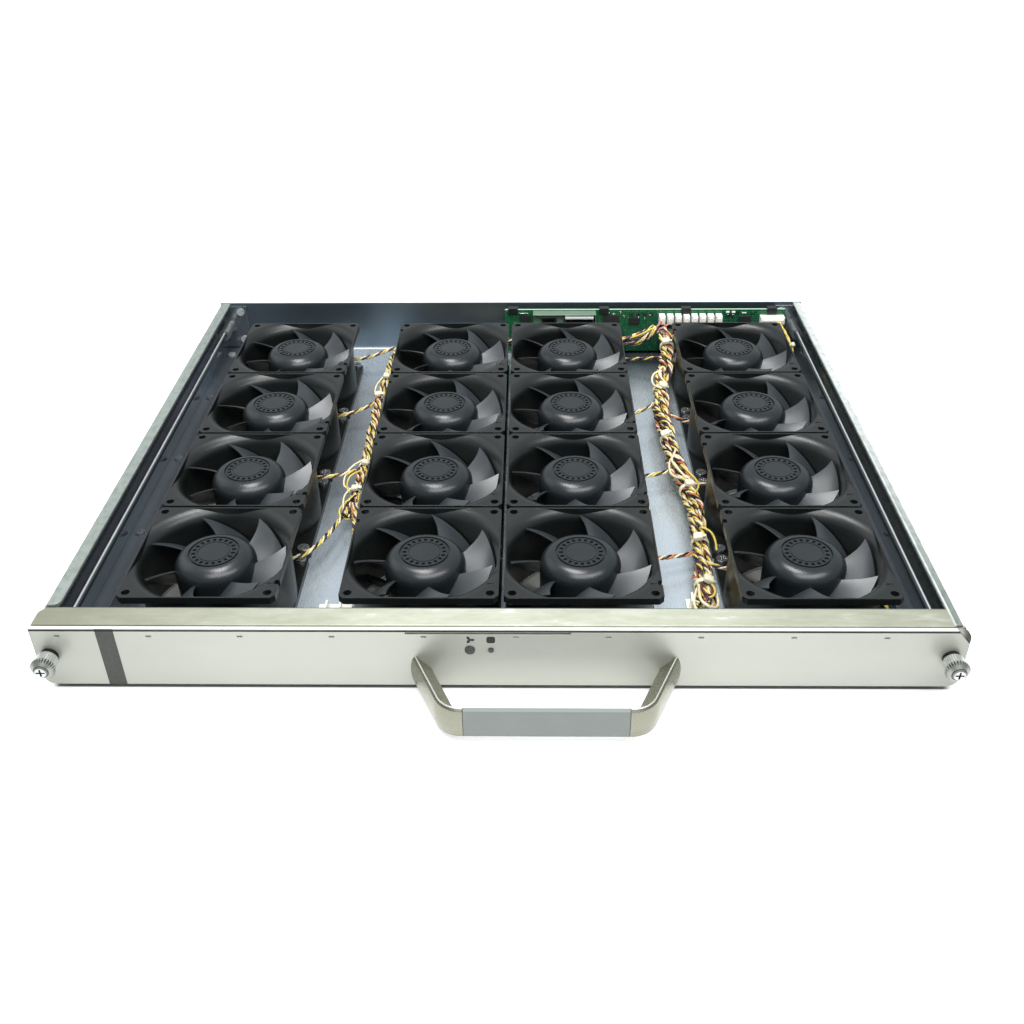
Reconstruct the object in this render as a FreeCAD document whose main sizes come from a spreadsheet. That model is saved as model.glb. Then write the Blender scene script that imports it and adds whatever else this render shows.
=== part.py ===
import FreeCAD, Part
import Sketcher
import math
import os

V = FreeCAD.Vector
doc = FreeCAD.newDocument("fan_tray")
dims = doc.addObject("Spreadsheet::Sheet", "Dims")

# Driving dimensions, millimetres.
# X runs across the tray, the panel faces -Y, Z is up, Z = 0 is the tray underside.
TABLE = [
    ("tray_width", 450.0), ("sheet_thick", 1.5), ("tray_front", -190.4), ("rear_outer", 192.0),
    ("wall_high", 39.3), ("flange_wide", 7.8), ("flange_front", -177.0), ("foot_wide", 11.0),
    ("tab_wide", 20.0), ("right_flange", 6.4), ("right_flange_front", -191.2), ("bend_round", 2.4),
    ("fan_side", 80.0), ("fan_high", 38.0), ("fan_lip", 4.0), ("fan_bore", 38.2), ("fan_barrel", 39.95),
    ("hole_pitch", 71.5), ("flange_hole", 2.15), ("floor_bore", 38.5), ("floor_hole", 2.0),
    ("col_a", -151.6), ("col_b", -39.9), ("col_c", 42.6), ("col_d", 161.1),
    ("row_first", -131.6), ("row_pitch", 81.7),
    ("bell_radius", 8.0), ("base_radius", 20.5), ("base_low", 3.5), ("base_high", 6.0),
    ("strut_wide", 2.4), ("strut_high", 7.2), ("tube_outer", 4.5), ("tube_bore", 3.02), ("tube_top", 27.0),
    ("shaft_radius", 1.5), ("bearing_bore", 1.53), ("bearing_outer", 3.0),
    ("hub_radius", 21.5), ("hub_top", 37.0), ("hub_low", 8.0), ("hub_round", 8.5), ("hub_bore", 18.6),
    ("hub_roof", 31.0), ("tip_radius", 37.3), ("blade_count", 7.0),
    ("panel_front", -195.6), ("panel_thick", 2.5), ("panel_low", 3.7), ("panel_top", 39.8),
    ("panel_edge", 1.1), ("notch_left", 219.0), ("notch_low", 31.0), ("panel_left", -226.1), ("panel_right", 226.3),
    ("panel_corner", 6.0), ("lip_groove_low", 38.15), ("lip_groove_high", 38.6), ("lip_groove_deep", 0.5),
    ("slit_left", -44.1), ("slit_right", 35.3), ("slit_mid", 37.2), ("slit_high", 1.1),
    ("dimple_mid", 35.0), ("dimple_wide", 2.6), ("dimple_high", 1.0), ("dimple_deep", 0.7),
    ("lens_big_x", -13.3), ("lens_small_x", -3.1), ("lens_mid", 26.8), ("lens_big", 2.5), ("lens_small", 1.4),
    ("channel_web", -177.7), ("channel_top", 38.3), ("channel_front", -193.1),
    ("gasket_front", -192.3), ("gasket_rear", -179.2), ("gasket_top", 39.5), ("gasket_right", 218.5), ("gasket_left", -226.0),
    ("handle_mid", 23.4), ("handle_half", 64.8), ("grip_half", 38.9), ("grip_front", -231.8),
    ("grip_deep", 8.0), ("ridge_bevel", 1.4), ("back_half", 1.6), ("handle_low", 4.0), ("handle_top", 22.6), ("post_base", 8.6),
    ("corner_x", 16.3), ("corner_round", 13.6), ("face_bow", 1.2), ("tab_round", 5.4), ("gasket_round", 5.0),
    ("screw_x", 219.2), ("screw_z", 22.6), ("rod_radius", 2.0), ("rod_tip", 206.0), ("rod_head", -208.5),
    ("head_radius", 3.3), ("thread_radius", 1.5), ("thread_front", 192.6),
    ("knob_radius", 6.1), ("knob_front", -207.6), ("knob_step", -203.6), ("knob_body", 5.1), ("knob_rear", -197.8), ("knob_taper", 2.2), ("collar_radius", 4.5),
    ("rod_hole", 3.0), ("guide_front", 168.0), ("guide_rear", 189.0), ("guide_radius", 4.2), ("guide_bore", 2.05),
    ("clip_front", -187.0), ("clip_thick", 0.8), ("clip_outer", 4.2), ("groove_radius", 1.6), ("clip_bore", 1.65),
    ("board_left", -3.4), ("board_right", 210.5), ("board_front", 179.2), ("board_thick", 1.6),
    ("board_low", 4.0), ("board_top", 38.5),
    ("plug_left", 84.0), ("plug_right", 144.0), ("plug_low", 9.0), ("plug_top", 21.0), ("plug_rear", 200.0),
    ("trunk_right", 6.2), ("trunk_left", 3.8), ("lead_radius", 1.8),
]


class E:
    """A number together with the cell formula that gives it."""

    def __init__(self, v, s):
        self.v = float(v)
        self.s = s

    def __add__(self, o):
        o = num(o)
        return E(self.v + o.v, "(%s + %s)" % (self.s, o.s))

    __radd__ = __add__

    def __sub__(self, o):
        o = num(o)
        return E(self.v - o.v, "(%s - %s)" % (self.s, o.s))

    def __rsub__(self, o):
        return num(o) - self

    def __mul__(self, o):
        o = num(o)
        return E(self.v * o.v, "(%s * %s)" % (self.s, o.s))

    __rmul__ = __mul__

    def __truediv__(self, o):
        o = num(o)
        return E(self.v / o.v, "(%s / %s)" % (self.s, o.s))

    def __neg__(self):
        return E(-self.v, "(0 - %s)" % self.s)


def num(x):
    return x if isinstance(x, E) else E(x, "(%.6f)" % x if x >= 0 else "(0 - %.6f)" % -x)


class Cells:
    pass


d = Cells()
for i, (alias, value) in enumerate(TABLE):
    dims.set("A%d" % (i + 1), alias)
    dims.set("B%d" % (i + 1), repr(value))
    dims.setAlias("B%d" % (i + 1), alias)
    setattr(d, alias, E(value, "Dims.%s" % alias))
doc.recompute()

NODES = {}


def bind(obj, prop, e):
    e = num(e)
    obj.setExpression(prop, e.s)
    return e.v


# ---------------------------------------------------------------- body helpers
def new_body(name):
    b = doc.addObject("PartDesign::Body", name)
    b.Label = name
    NODES[name] = b
    return b


def plane_of(b, role):
    for f in b.Origin.OriginFeatures:
        if f.Role == role:
            return f


def sketch(b, name, role, off, polys=(), circles=()):
    """off is the shift along the plane's normal, or a triple in the plane's own axes."""
    sk = b.newObject("Sketcher::SketchObject", name)
    sk.AttachmentSupport = [(plane_of(b, role), "")]
    sk.MapMode = "FlatFace"
    trio = off if isinstance(off, tuple) else (0.0, 0.0, off)
    trio = [num(t) for t in trio]
    sk.AttachmentOffset = FreeCAD.Placement(V(trio[0].v, trio[1].v, trio[2].v), FreeCAD.Rotation())
    for axis, t in zip("xyz", trio):
        sk.setExpression("AttachmentOffset.Base.%s" % axis, t.s)
    for pts in polys:
        pts = [(num(a), num(c)) for a, c in pts]
        n = len(pts)
        g0 = sk.GeometryCount
        for i in range(n):
            a, c = pts[i], pts[(i + 1) % n]
            sk.addGeometry(Part.LineSegment(V(a[0].v, a[1].v, 0), V(c[0].v, c[1].v, 0)), False)
        for i in range(n):
            sk.addConstraint(Sketcher.Constraint("Coincident", g0 + i, 2, g0 + (i + 1) % n, 1))
        for i in range(n):
            k = sk.addConstraint(Sketcher.Constraint("DistanceX", -1, 1, g0 + i, 1, pts[i][0].v))
            sk.setExpression("Constraints[%d]" % k, pts[i][0].s)
            k = sk.addConstraint(Sketcher.Constraint("DistanceY", -1, 1, g0 + i, 1, pts[i][1].v))
            sk.setExpression("Constraints[%d]" % k, pts[i][1].s)
    for cx, cy, r in circles:
        cx, cy, r = num(cx), num(cy), num(r)
        g = sk.addGeometry(Part.Circle(V(cx.v, cy.v, 0), V(0, 0, 1), r.v), False)
        k = sk.addConstraint(Sketcher.Constraint("DistanceX", -1, 1, g, 3, cx.v))
        sk.setExpression("Constraints[%d]" % k, cx.s)
        k = sk.addConstraint(Sketcher.Constraint("DistanceY", -1, 1, g, 3, cy.v))
        sk.setExpression("Constraints[%d]" % k, cy.s)
        k = sk.addConstraint(Sketcher.Constraint("Radius", g, r.v))
        sk.setExpression("Constraints[%d]" % k, r.s)
    sk.Visibility = False
    return sk


def rect(x0, y0, x1, y1):
    return [(x0, y0), (x1, y0), (x1, y1), (x0, y1)]


def pad(b, name, sk, length):
    f = b.newObject("PartDesign::Pad", name)
    f.Profile = sk
    f.Length = bind(f, "Length", length)
    return f


def pocket(b, name, sk, depth):
    f = b.newObject("PartDesign::Pocket", name)
    f.Profile = sk
    f.Length = bind(f, "Length", depth)
    return f


def revolve(b, name, sk):
    f = b.newObject("PartDesign::Revolution", name)
    f.Profile = sk
    f.ReferenceAxis = (sk, ["V_Axis"])
    f.Angle = 360.0
    return f


def edges_where(feature, test):
    doc.recompute()
    out = []
    for i, e in enumerate(feature.Shape.Edges):
        m = e.BoundBox.Center
        t = e.tangentAt((e.FirstParameter + e.LastParameter) / 2.0)
        if test(m, t, e):
            out.append("Edge%d" % (i + 1))
    return out


def soften(b, name, kind, base, names, size):
    f = b.newObject("PartDesign::%s" % kind, name)
    f.Base = (base, names)
    prop = "Radius" if kind == "Fillet" else "Size"
    setattr(f, prop, num(size).v)
    f.setExpression(prop, num(size).s)
    return f


# ----------------------------------------------------------- primitive helpers
def box(name, x, y, z, l, w, h):
    o = doc.addObject("Part::Box", name)
    for p, e in (("Length", l), ("Width", w), ("Height", h)):
        bind(o, p, e)
    for p, e in (("x", x), ("y", y), ("z", z)):
        bind(o, "Placement.Base.%s" % p, e)
    return o


TURN = {"z": FreeCAD.Rotation(), "y": FreeCAD.Rotation(V(1, 0, 0), -90), "x": FreeCAD.Rotation(V(0, 1, 0), 90)}


def cyl(name, x, y, z, r, h, axis="z"):
    o = doc.addObject("Part::Cylinder", name)
    bind(o, "Radius", r)
    bind(o, "Height", h)
    o.Placement = FreeCAD.Placement(V(0, 0, 0), TURN[axis])
    for p, e in (("x", x), ("y", y), ("z", z)):
        bind(o, "Placement.Base.%s" % p, e)
    return o


def cut(name, a, b):
    o = doc.addObject("Part::Cut", name)
    o.Base, o.Tool = a, b
    return o


def common(name, a, b):
    o = doc.addObject("Part::Common", name)
    o.Base, o.Tool = a, b
    return o


def fuse(name, parts):
    o = doc.addObject("Part::MultiFuse", name)
    o.Shapes = parts
    return o


def group(name, shapes):
    f = doc.addObject("Part::Feature", name)
    f.Label = name
    f.Shape = Part.makeCompound([s.copy() for s in shapes]) if len(shapes) > 1 else shapes[0].copy()
    NODES[name] = f
    return f


def moved(shape, x, y, z, turn=0.0):
    s = shape.copy()
    if turn:
        s.rotate(V(0, 0, 0), V(0, 0, 1), turn)
    s.translate(V(x, y, z))
    return s


def solid_box(x0, y0, z0, x1, y1, z1):
    return Part.makeBox(x1 - x0, y1 - y0, z1 - z0, V(x0, y0, z0))


half = d.tray_width / 2
th = d.sheet_thick
COLS = [d.col_a, d.col_b, d.col_c, d.col_d]
ROWS = [d.row_first + d.row_pitch * i for i in range(4)]
pitch = d.hole_pitch / 2

# ------------------------------------------------------------------ tray floor
b = new_body("tray_floor")
sk = sketch(b, "floor_outline", "XY_Plane", 0.0, [rect(-half + th, d.tray_front, half - th, d.rear_outer - th)])
p0 = pad(b, "floor_pad", sk, th)
rounds = [(c, d.row_first, d.floor_bore) for c in COLS]
sk = sketch(b, "air_openings", "XY_Plane", th, circles=rounds)
pk = pocket(b, "air_cut", sk, th)
sk2 = sketch(b, "screw_holes", "XY_Plane", th, circles=[
    (c + sx * pitch, d.row_first + sy * pitch, d.floor_hole) for c in COLS for sx in (-1, 1) for sy in (-1, 1)])
pk2 = pocket(b, "screw_cut", sk2, th)
lp = b.newObject("PartDesign::LinearPattern", "rows_of_cuts")
lp.Originals = [pk, pk2]
lp.Direction = (sk, ["V_Axis"])
lp.Length = bind(lp, "Length", d.row_pitch * 3)
lp.Occurrences = 4
b.Tip = lp

# ------------------------------------------------------------------ side walls
RIVET_Y = [-150.0, -65.0, 20.0, 105.0, 175.0]
TAB_RIVET_Z = [10.0, 33.0]


def side_wall(name, s, rim_wide, rim_front):
    b = new_body(name)
    out, inn = half * s, (half - th) * s
    rim = (half - rim_wide) * s
    foot = (half - d.foot_wide) * s
    low = d.wall_high - th
    sk = sketch(b, name + "_web", "XZ_Plane", -(d.rear_outer - th), [rect(out, 0.0, inn, low)])
    pad(b, name + "_web_pad", sk, d.rear_outer - th - d.tray_front)
    sk = sketch(b, name + "_rim", "XZ_Plane", -(d.rear_outer - th), [rect(out, low, rim, d.wall_high)])
    pf = pad(b, name + "_rim_pad", sk, d.rear_outer - th - rim_front)
    sk = sketch(b, name + "_foot", "XZ_Plane", -(d.rear_outer - 5), [rect(inn, th, foot, th * 2)])
    pad(b, name + "_foot_pad", sk, d.rear_outer - 5 - d.flange_front - 1)
    tab = (half - d.tab_wide) * s
    sk = sketch(b, name + "_tab", "XZ_Plane", -(d.rear_outer - th), [rect(inn, th, tab, low - 0.5)])
    pt = pad(b, name + "_tab_pad", sk, th)
    sk = sketch(b, name + "_rod_hole", "XZ_Plane", -(d.rear_outer - th * 2), circles=[
        (d.screw_x * s, d.screw_z, d.rod_hole)] + [(d.screw_x * s - s * 9.5, z, 1.65) for z in TAB_RIVET_Z])
    pocket(b, name + "_rod_cut", sk, th)
    sk = sketch(b, name + "_rivet_holes", "XY_Plane", th * 2, circles=[
        ((half - 7) * s, y, 1.65) for y in RIVET_Y])
    pk = pocket(b, name + "_rivet_cut", sk, th)
    if s < 0:
        names = edges_where(pk, lambda m, t, e: abs(m.x - rim.v) < 0.01 and abs(m.y - rim_front.v) < 0.01 and abs(t.z) > 0.9)
        pk = soften(b, name + "_corner", "Fillet", pk, names, 4.0)
    names = edges_where(pk, lambda m, t, e: abs(m.x - out.v) < 0.01 and abs(m.z - d.wall_high.v) < 0.01 and abs(t.y) > 0.9)
    soften(b, name + "_bend", "Fillet", pk, names, d.bend_round)
    return b


side_wall("left_side_wall", -1, d.flange_wide, d.flange_front)
side_wall("right_side_wall", 1, d.right_flange, d.right_flange_front)

# rivet holes of the foot continue through the floor
fb = NODES["tray_floor"]
sk = sketch(fb, "floor_rivet_holes", "XY_Plane", th, circles=[
    ((half - 7) * s, y, 1.65) for s in (-1, 1) for y in RIVET_Y])
pocket(fb, "floor_rivet_cut", sk, th)

# ------------------------------------------------------------------- rear wall
b = new_body("rear_wall")
sk = sketch(b, "rear_outline", "XZ_Plane", -d.rear_outer, [rect(-half, 0.0, half, d.wall_high)])
pad(b, "rear_pad", sk, th)
sk = sketch(b, "rear_holes", "XZ_Plane", -(d.rear_outer - th),
            [rect(d.plug_left - 1.5, d.plug_low - 1.5, d.plug_right + 1.5, d.plug_top + 1.5)],
            [(d.screw_x * s, d.screw_z, d.rod_hole) for s in (-1, 1)]
            + [(d.screw_x * s - s * 9.5, z, 1.65) for s in (-1, 1) for z in TAB_RIVET_Z])
pocket(b, "rear_cut", sk, th)

# --------------------------------------------------------------- front channel
b = new_body("front_channel")
web_front = d.channel_web - th
sk = sketch(b, "channel_section", "YZ_Plane", -(half - th), [[
    (d.tray_front, th), (d.channel_web, th), (d.channel_web, d.channel_top), (d.channel_front, d.channel_top),
    (d.channel_front, d.channel_top - th), (web_front, d.channel_top - th), (web_front, th * 2),
    (d.tray_front, th * 2)]])
pad(b, "channel_pad", sk, d.tray_width - th * 2)
sk = sketch(b, "channel_holes", "XZ_Plane", -web_front, circles=[
    (d.screw_x * s, d.screw_z, d.rod_hole) for s in (-1, 1)])
pocket(b, "channel_cut", sk, th)
# the right wall's top flange runs on over the channel, let into its top
sk = sketch(b, "channel_joggle", "XY_Plane", d.channel_top, [rect(
    half - d.right_flange - 0.1, d.channel_front - 1, half, d.channel_web + 1)])
pocket(b, "channel_joggle_cut", sk, d.channel_top - d.wall_high + th + 0.05)

# ----------------------------------------------------------------- front panel
POST_X = [d.handle_mid - d.handle_half + d.post_base * 0.56, d.handle_mid + d.handle_half - d.post_base * 0.56]
POST_Z = [10.0, 16.6]
b = new_body("front_panel")
sk = sketch(b, "panel_outline", "XZ_Plane", -(d.panel_front + d.panel_thick), [[
    (d.panel_left, d.panel_low), (d.panel_right, d.panel_low), (d.panel_right, d.notch_low),
    (d.notch_left, d.panel_top), (d.panel_left, d.panel_top)]])
pp = pad(b, "panel_pad", sk, d.panel_thick)
sk = sketch(b, "panel_holes", "XZ_Plane", -d.panel_front,
            [rect(d.slit_left, d.slit_mid - d.slit_high / 2, d.slit_right, d.slit_mid + d.slit_high / 2)],
            [(d.screw_x * s, d.screw_z, d.rod_hole) for s in (-1, 1)]
            + [(d.lens_big_x, d.lens_mid, d.lens_big), (d.lens_small_x, d.lens_mid, d.lens_small)]
            + [(x, z, 1.7) for x in POST_X for z in POST_Z])
pocket(b, "panel_cut", sk, d.panel_thick)
DIMPLE_X = [-212.8, -168.4, -124.1, -79.7, -35.4, 9.0, 53.3, 97.7, 142.0, 186.3]
sk = sketch(b, "panel_dimples", "XZ_Plane", -d.panel_front, [
    rect(x - d.dimple_wide / 2, d.dimple_mid - d.dimple_high / 2, x + d.dimple_wide / 2, d.dimple_mid + d.dimple_high / 2)
    for x in DIMPLE_X])
pocket(b, "dimple_cut", sk, d.dimple_deep)
sk = sketch(b, "panel_lip_groove", "XZ_Plane", -d.panel_front, [rect(
    d.panel_left - 1, d.lip_groove_low, d.panel_right + 1, d.lip_groove_high)])
pk = pocket(b, "lip_groove_cut", sk, d.lip_groove_deep)
names = edges_where(pk, lambda m, t, e: abs(m.z - d.panel_low.v) < 0.01 and abs(t.y) > 0.9 and abs(m.x) > 220)
pk = soften(b, "panel_corner_round", "Fillet", pk, names, d.panel_corner)
names = edges_where(pk, lambda m, t, e: abs(m.z - d.panel_top.v) < 0.01 and abs(t.x) > 0.9)
soften(b, "panel_top_round", "Fillet", pk, names, d.panel_edge)

# ------------------------------------------------------ gasket and corner tab
b = new_body("emi_gasket")
sk = sketch(b, "gasket_outline", "XY_Plane", d.channel_top, [rect(d.gasket_left, d.gasket_front, d.gasket_right, d.gasket_rear)])
pg = pad(b, "gasket_pad", sk, d.gasket_top - d.channel_top)
names = edges_where(pg, lambda m, t, e: abs(m.x - d.gasket_left.v) < 0.01 and abs(m.y - d.gasket_rear.v) < 0.01 and abs(t.z) > 0.9)
pg = soften(b, "gasket_corner", "Fillet", pg, names, d.gasket_round)
names = edges_where(pg, lambda m, t, e: abs(m.z - d.gasket_top.v) < 0.01 and abs(t.x) > 0.9)
soften(b, "gasket_edge", "Fillet", pg, names, 0.7)

b = new_body("corner_tab")
sk = sketch(b, "tab_outline", "XZ_Plane", -(d.panel_front + d.panel_thick), [[
    (d.notch_left + 0.45, d.panel_top - 0.4), (d.panel_right, d.notch_low + 0.15), (d.panel_right, d.panel_top - 0.4)]])
pt = pad(b, "tab_pad", sk, d.panel_thick - 0.3)
names = edges_where(pt, lambda m, t, e: abs(t.y) > 0.9 and m.z > 38 and m.x > 225)
soften(b, "tab_corner", "Fillet", pt, names, d.tab_round)

# ---------------------------------------------------------------------- handle
# section: slightly bowed outer face, sloping back, bevel along the two ridges
h_mid = (d.handle_low + d.handle_top) / 2
h_half = (d.handle_top - d.handle_low) / 2


def bow_section(b, name, x):
    """Ridges on the front line, slightly bowed face, back sloping to a narrow flat, drawn in the plane across X."""
    sk = sketch(b, name, "YZ_Plane", x)
    yf, dp, bv, bow = d.grip_front, d.grip_deep, d.ridge_bevel, d.face_bow
    pts = [(yf + bv, h_mid - h_half), (yf, h_mid - h_half + bv), (yf, h_mid + h_half - bv), (yf + bv, h_mid + h_half),
           (yf + dp, h_mid + d.back_half), (yf + dp, h_mid - d.back_half)]
    face_half = h_half - bv
    fr = (face_half * face_half + bow * bow) / (bow * 2)
    fc = yf.v - bow.v + fr.v
    fa = math.atan2(face_half.v, fc - yf.v)
    for k in range(6):
        a, c = pts[k], pts[(k + 1) % 6]
        if k == 1:
            sk.addGeometry(Part.ArcOfCircle(Part.Circle(V(fc, h_mid.v, 0), V(0, 0, 1), fr.v), math.pi - fa, math.pi + fa), False)
        else:
            sk.addGeometry(Part.LineSegment(V(a[0].v, a[1].v, 0), V(c[0].v, c[1].v, 0)), False)
    for g, q, g2, q2 in ((0, 2, 1, 2), (1, 1, 2, 1), (2, 2, 3, 1), (3, 2, 4, 1), (4, 2, 5, 1), (5, 2, 0, 1)):
        sk.addConstraint(Sketcher.Constraint("Coincident", g, q, g2, q2))
    for g, q, p in ((0, 1, pts[0]), (0, 2, pts[1]), (2, 1, pts[2]), (2, 2, pts[3]), (3, 2, pts[4]), (4, 2, pts[5])):
        k = sk.addConstraint(Sketcher.Constraint("DistanceX", -1, 1, g, q, p[0].v))
        sk.setExpression("Constraints[%d]" % k, p[0].s)
        k = sk.addConstraint(Sketcher.Constraint("DistanceY", -1, 1, g, q, p[1].v))
        sk.setExpression("Constraints[%d]" % k, p[1].s)
    k = sk.addConstraint(Sketcher.Constraint("Radius", 1, fr.v))
    sk.setExpression("Constraints[%d]" % k, fr.s)
    return sk


def handle_post(name, s):
    b = new_body(name)
    mid, hh = d.handle_mid, d.handle_half
    face, yf, cr = d.panel_front, d.grip_front, d.corner_round
    x_join = mid + d.grip_half * s
    prof = bow_section(b, name + "_section", x_join)
    # leg line continued past the panel face, trimmed there afterwards
    x_cor, y_cor = (mid + (hh - d.corner_x) * s).v, yf.v
    ux, uy = d.corner_x.v * s, face.v - yf.v
    n = math.hypot(ux, uy)
    ux, uy = ux / n, uy / n
    turn = math.acos(abs(ux))
    t = cr.v * math.tan(turn / 2)
    t1 = V(x_cor - s * t, y_cor, 0)
    t2 = V(x_cor + ux * t, y_cor + uy * t, 0)
    cen = V(t1.x, y_cor + cr.v, 0)
    end = V(x_cor + ux * (n + 8), y_cor + uy * (n + 8), 0)
    path_sk = sketch(b, name + "_line", "XY_Plane", h_mid)
    path_sk.addGeometry(Part.LineSegment(V(x_join.v, y_cor, 0), t1), False)
    q = 1.5 * math.pi
    path_sk.addGeometry(Part.ArcOfCircle(Part.Circle(cen, V(0, 0, 1), cr.v), *((q - turn, q) if s < 0 else (q, q + turn))), False)
    path_sk.addGeometry(Part.LineSegment(t2, end), False)
    a_start = s > 0
    path_sk.addConstraint(Sketcher.Constraint("Tangent", 0, 2, 1, 1 if a_start else 2))
    path_sk.addConstraint(Sketcher.Constraint("Tangent", 1, 2 if a_start else 1, 2, 1))
    path_sk.addConstraint(Sketcher.Constraint("Horizontal", 0))
    k = path_sk.addConstraint(Sketcher.Constraint("Radius", 1, cr.v))
    path_sk.setExpression("Constraints[%d]" % k, cr.s)
    for g, q, p in ((0, 1, (x_join, yf)), (2, 2, (num(end.x), num(end.y)))):
        k = path_sk.addConstraint(Sketcher.Constraint("DistanceX", -1, 1, g, q, p[0].v))
        path_sk.setExpression("Constraints[%d]" % k, p[0].s)
        k = path_sk.addConstraint(Sketcher.Constraint("DistanceY", -1, 1, g, q, p[1].v))
        path_sk.setExpression("Constraints[%d]" % k, p[1].s)
    pipe = b.newObject("PartDesign::AdditivePipe", name + "_sweep")
    pipe.Profile = prof
    pipe.Spine = (path_sk, ["Edge1", "Edge2", "Edge3"])
    sk = sketch(b, name + "_trim", "XZ_Plane", -face, [rect(x_join - 60, -20.0, x_join + 60, 60.0)])
    pocket(b, name + "_trim_cut", sk, 30.0)
    sk = sketch(b, name + "_taps", "XZ_Plane", -face, circles=[(POST_X[0 if s < 0 else 1], z, 1.6) for z in POST_Z])
    pk = b.newObject("PartDesign::Pocket", name + "_tap_cut")
    pk.Profile = sk
    pk.Length = 5.0
    pk.Reversed = True


handle_post("handle_left_post", -1)
handle_post("handle_right_post", 1)

b = new_body("handle_grip")
sk = bow_section(b, "grip_section", d.handle_mid - d.grip_half)
pad(b, "grip_pad", sk, d.grip_half * 2)

# ------------------------------------------------------------------ jackscrews
def jackscrew(side, s):
    at = (d.screw_x * s, 0.0, d.screw_z)
    rr, g = d.rod_radius, d.clip_front
    b = new_body(side + "_rod")
    sk = sketch(b, side + "_rod_profile", "XY_Plane", at, [[
        (0.0, d.rod_head), (d.head_radius - 0.5, d.rod_head), (d.head_radius, d.rod_head + 0.5), (d.head_radius, d.knob_front),
        (rr, d.knob_front), (rr, g - 0.05), (d.groove_radius, g - 0.05),
        (d.groove_radius, g + d.clip_thick + 0.05), (rr, g + d.clip_thick + 0.05), (rr, d.thread_front),
        (d.thread_radius, d.thread_front), (d.thread_radius, d.rod_tip - 1.0),
        (d.thread_radius - 1.0, d.rod_tip), (0.0, d.rod_tip)]])
    revolve(b, side + "_rod_turn", sk)
    w, l = 0.5, 2.2
    sk = sketch(b, side + "_rod_cross", "XZ_Plane", (d.screw_x * s, d.screw_z, -d.rod_head), [[
        (-l, -w), (-w, -w), (-w, -l), (w, -l), (w, -w), (l, -w), (l, w), (w, w), (w, l), (-w, l), (-w, w), (-l, w)]])
    pocket(b, side + "_cross_cut", sk, 1.0)

    b = new_body(side + "_knob")
    kr = d.knob_radius
    sk = sketch(b, side + "_knob_profile", "XY_Plane", at, [[
        (rr, d.knob_front), (d.head_radius + 0.5, d.knob_front), (kr, d.knob_front + d.knob_taper), (kr, d.knob_step - 0.6),
        (kr - 0.5, d.knob_step), (d.knob_body, d.knob_step), (d.knob_body, d.knob_rear - 0.6), (d.knob_body - 0.4, d.knob_rear),
        (d.collar_radius, d.knob_rear), (d.collar_radius, d.panel_front), (rr, d.panel_front)]])
    revolve(b, side + "_knob_turn", sk)
    sk2 = sketch(b, side + "_flute", "XZ_Plane", (d.screw_x * s, d.screw_z, -d.knob_front), [[
        (-0.62, kr + 0.3), (0.0, d.knob_body - 0.3), (0.62, kr + 0.3)]])
    pk = pocket(b, side + "_flute_cut", sk2, d.knob_rear - d.knob_front)
    pol = b.newObject("PartDesign::PolarPattern", side + "_flutes")
    pol.Originals = [pk]
    pol.Axis = (sk, ["V_Axis"])
    pol.Angle = 360.0
    pol.Occurrences = 28
    b.Tip = pol

    ring = cut(side + "_clip", cyl(side + "_clip_disc", d.screw_x * s, g, d.screw_z, d.clip_outer, d.clip_thick, "y"),
               fuse(side + "_clip_open", [
                   cyl(side + "_clip_bore", d.screw_x * s, g - 1, d.screw_z, d.clip_bore, d.clip_thick + 2, "y"),
                   box(side + "_clip_gap", d.screw_x * s - 1.2, g - 1, d.screw_z - 8, 2.4, d.clip_thick + 2, 8.0)]))
    ring.Label = side + "_clip"
    NODES[side + "_clip"] = ring


jackscrew("left", -1)
jackscrew("right", 1)

guides = []
for s in (-1, 1):
    tag = "left" if s < 0 else "right"
    ln = d.guide_rear - d.guide_front
    sleeve = fuse(tag + "_guide_body", [
        cyl(tag + "_guide_tube", d.screw_x * s, d.guide_front, d.screw_z, d.guide_radius, ln, "y"),
        box(tag + "_guide_foot", d.screw_x * s - 4.2, d.guide_rear - 3, d.screw_z - 4.2, 8.4, 3.0, 8.4)])
    guides.append(cut(tag + "_guide", sleeve, cyl(
        tag + "_guide_bore", d.screw_x * s, d.guide_front - 1, d.screw_z, d.guide_bore, ln + 2, "y")))

# ------------------------------------------------------------------- fan frame
fs, fh, lip = d.fan_side, d.fan_high, d.fan_lip
plates = fuse("frame_plates", [box("frame_low", -fs / 2, -fs / 2, 0.0, fs, fs, lip),
                               box("frame_high", -fs / 2, -fs / 2, fh - lip, fs, fs, lip)])
plates = common("frame_blunt", plates, cyl("frame_round", 0.0, 0.0, 0.0, fs * 0.686, fh))
shell = fuse("frame_shell", [plates, cyl("frame_barrel", 0.0, 0.0, 0.0, d.fan_barrel, fh)])
bell = doc.addObject("Part::Feature", "frame_bell")
r0, br, zt = d.fan_bore.v, d.bell_radius.v, d.fan_high.v
arc = Part.Arc(V(r0, 0, zt - br), V(r0 + br - br * math.cos(math.pi / 4), 0, zt - br + br * math.sin(math.pi / 4)), V(r0 + br, 0, zt))
bell.Shape = Part.Face(Part.Wire([
    Part.makeLine(V(0, 0, zt - br), V(r0, 0, zt - br)), arc.toShape(),
    Part.makeLine(V(r0 + br, 0, zt), V(r0 + br, 0, zt + 1)), Part.makeLine(V(r0 + br, 0, zt + 1), V(0, 0, zt + 1)),
    Part.makeLine(V(0, 0, zt + 1), V(0, 0, zt - br))])).revolve(V(0, 0, 0), V(0, 0, 1), 360)
scoop = common("frame_scoop", bell, box("frame_scoop_limit", -fs / 2 + 0.8, -fs / 2 + 0.8, fh - d.bell_radius, fs - 1.6, fs - 1.6, d.bell_radius + 2))
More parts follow.
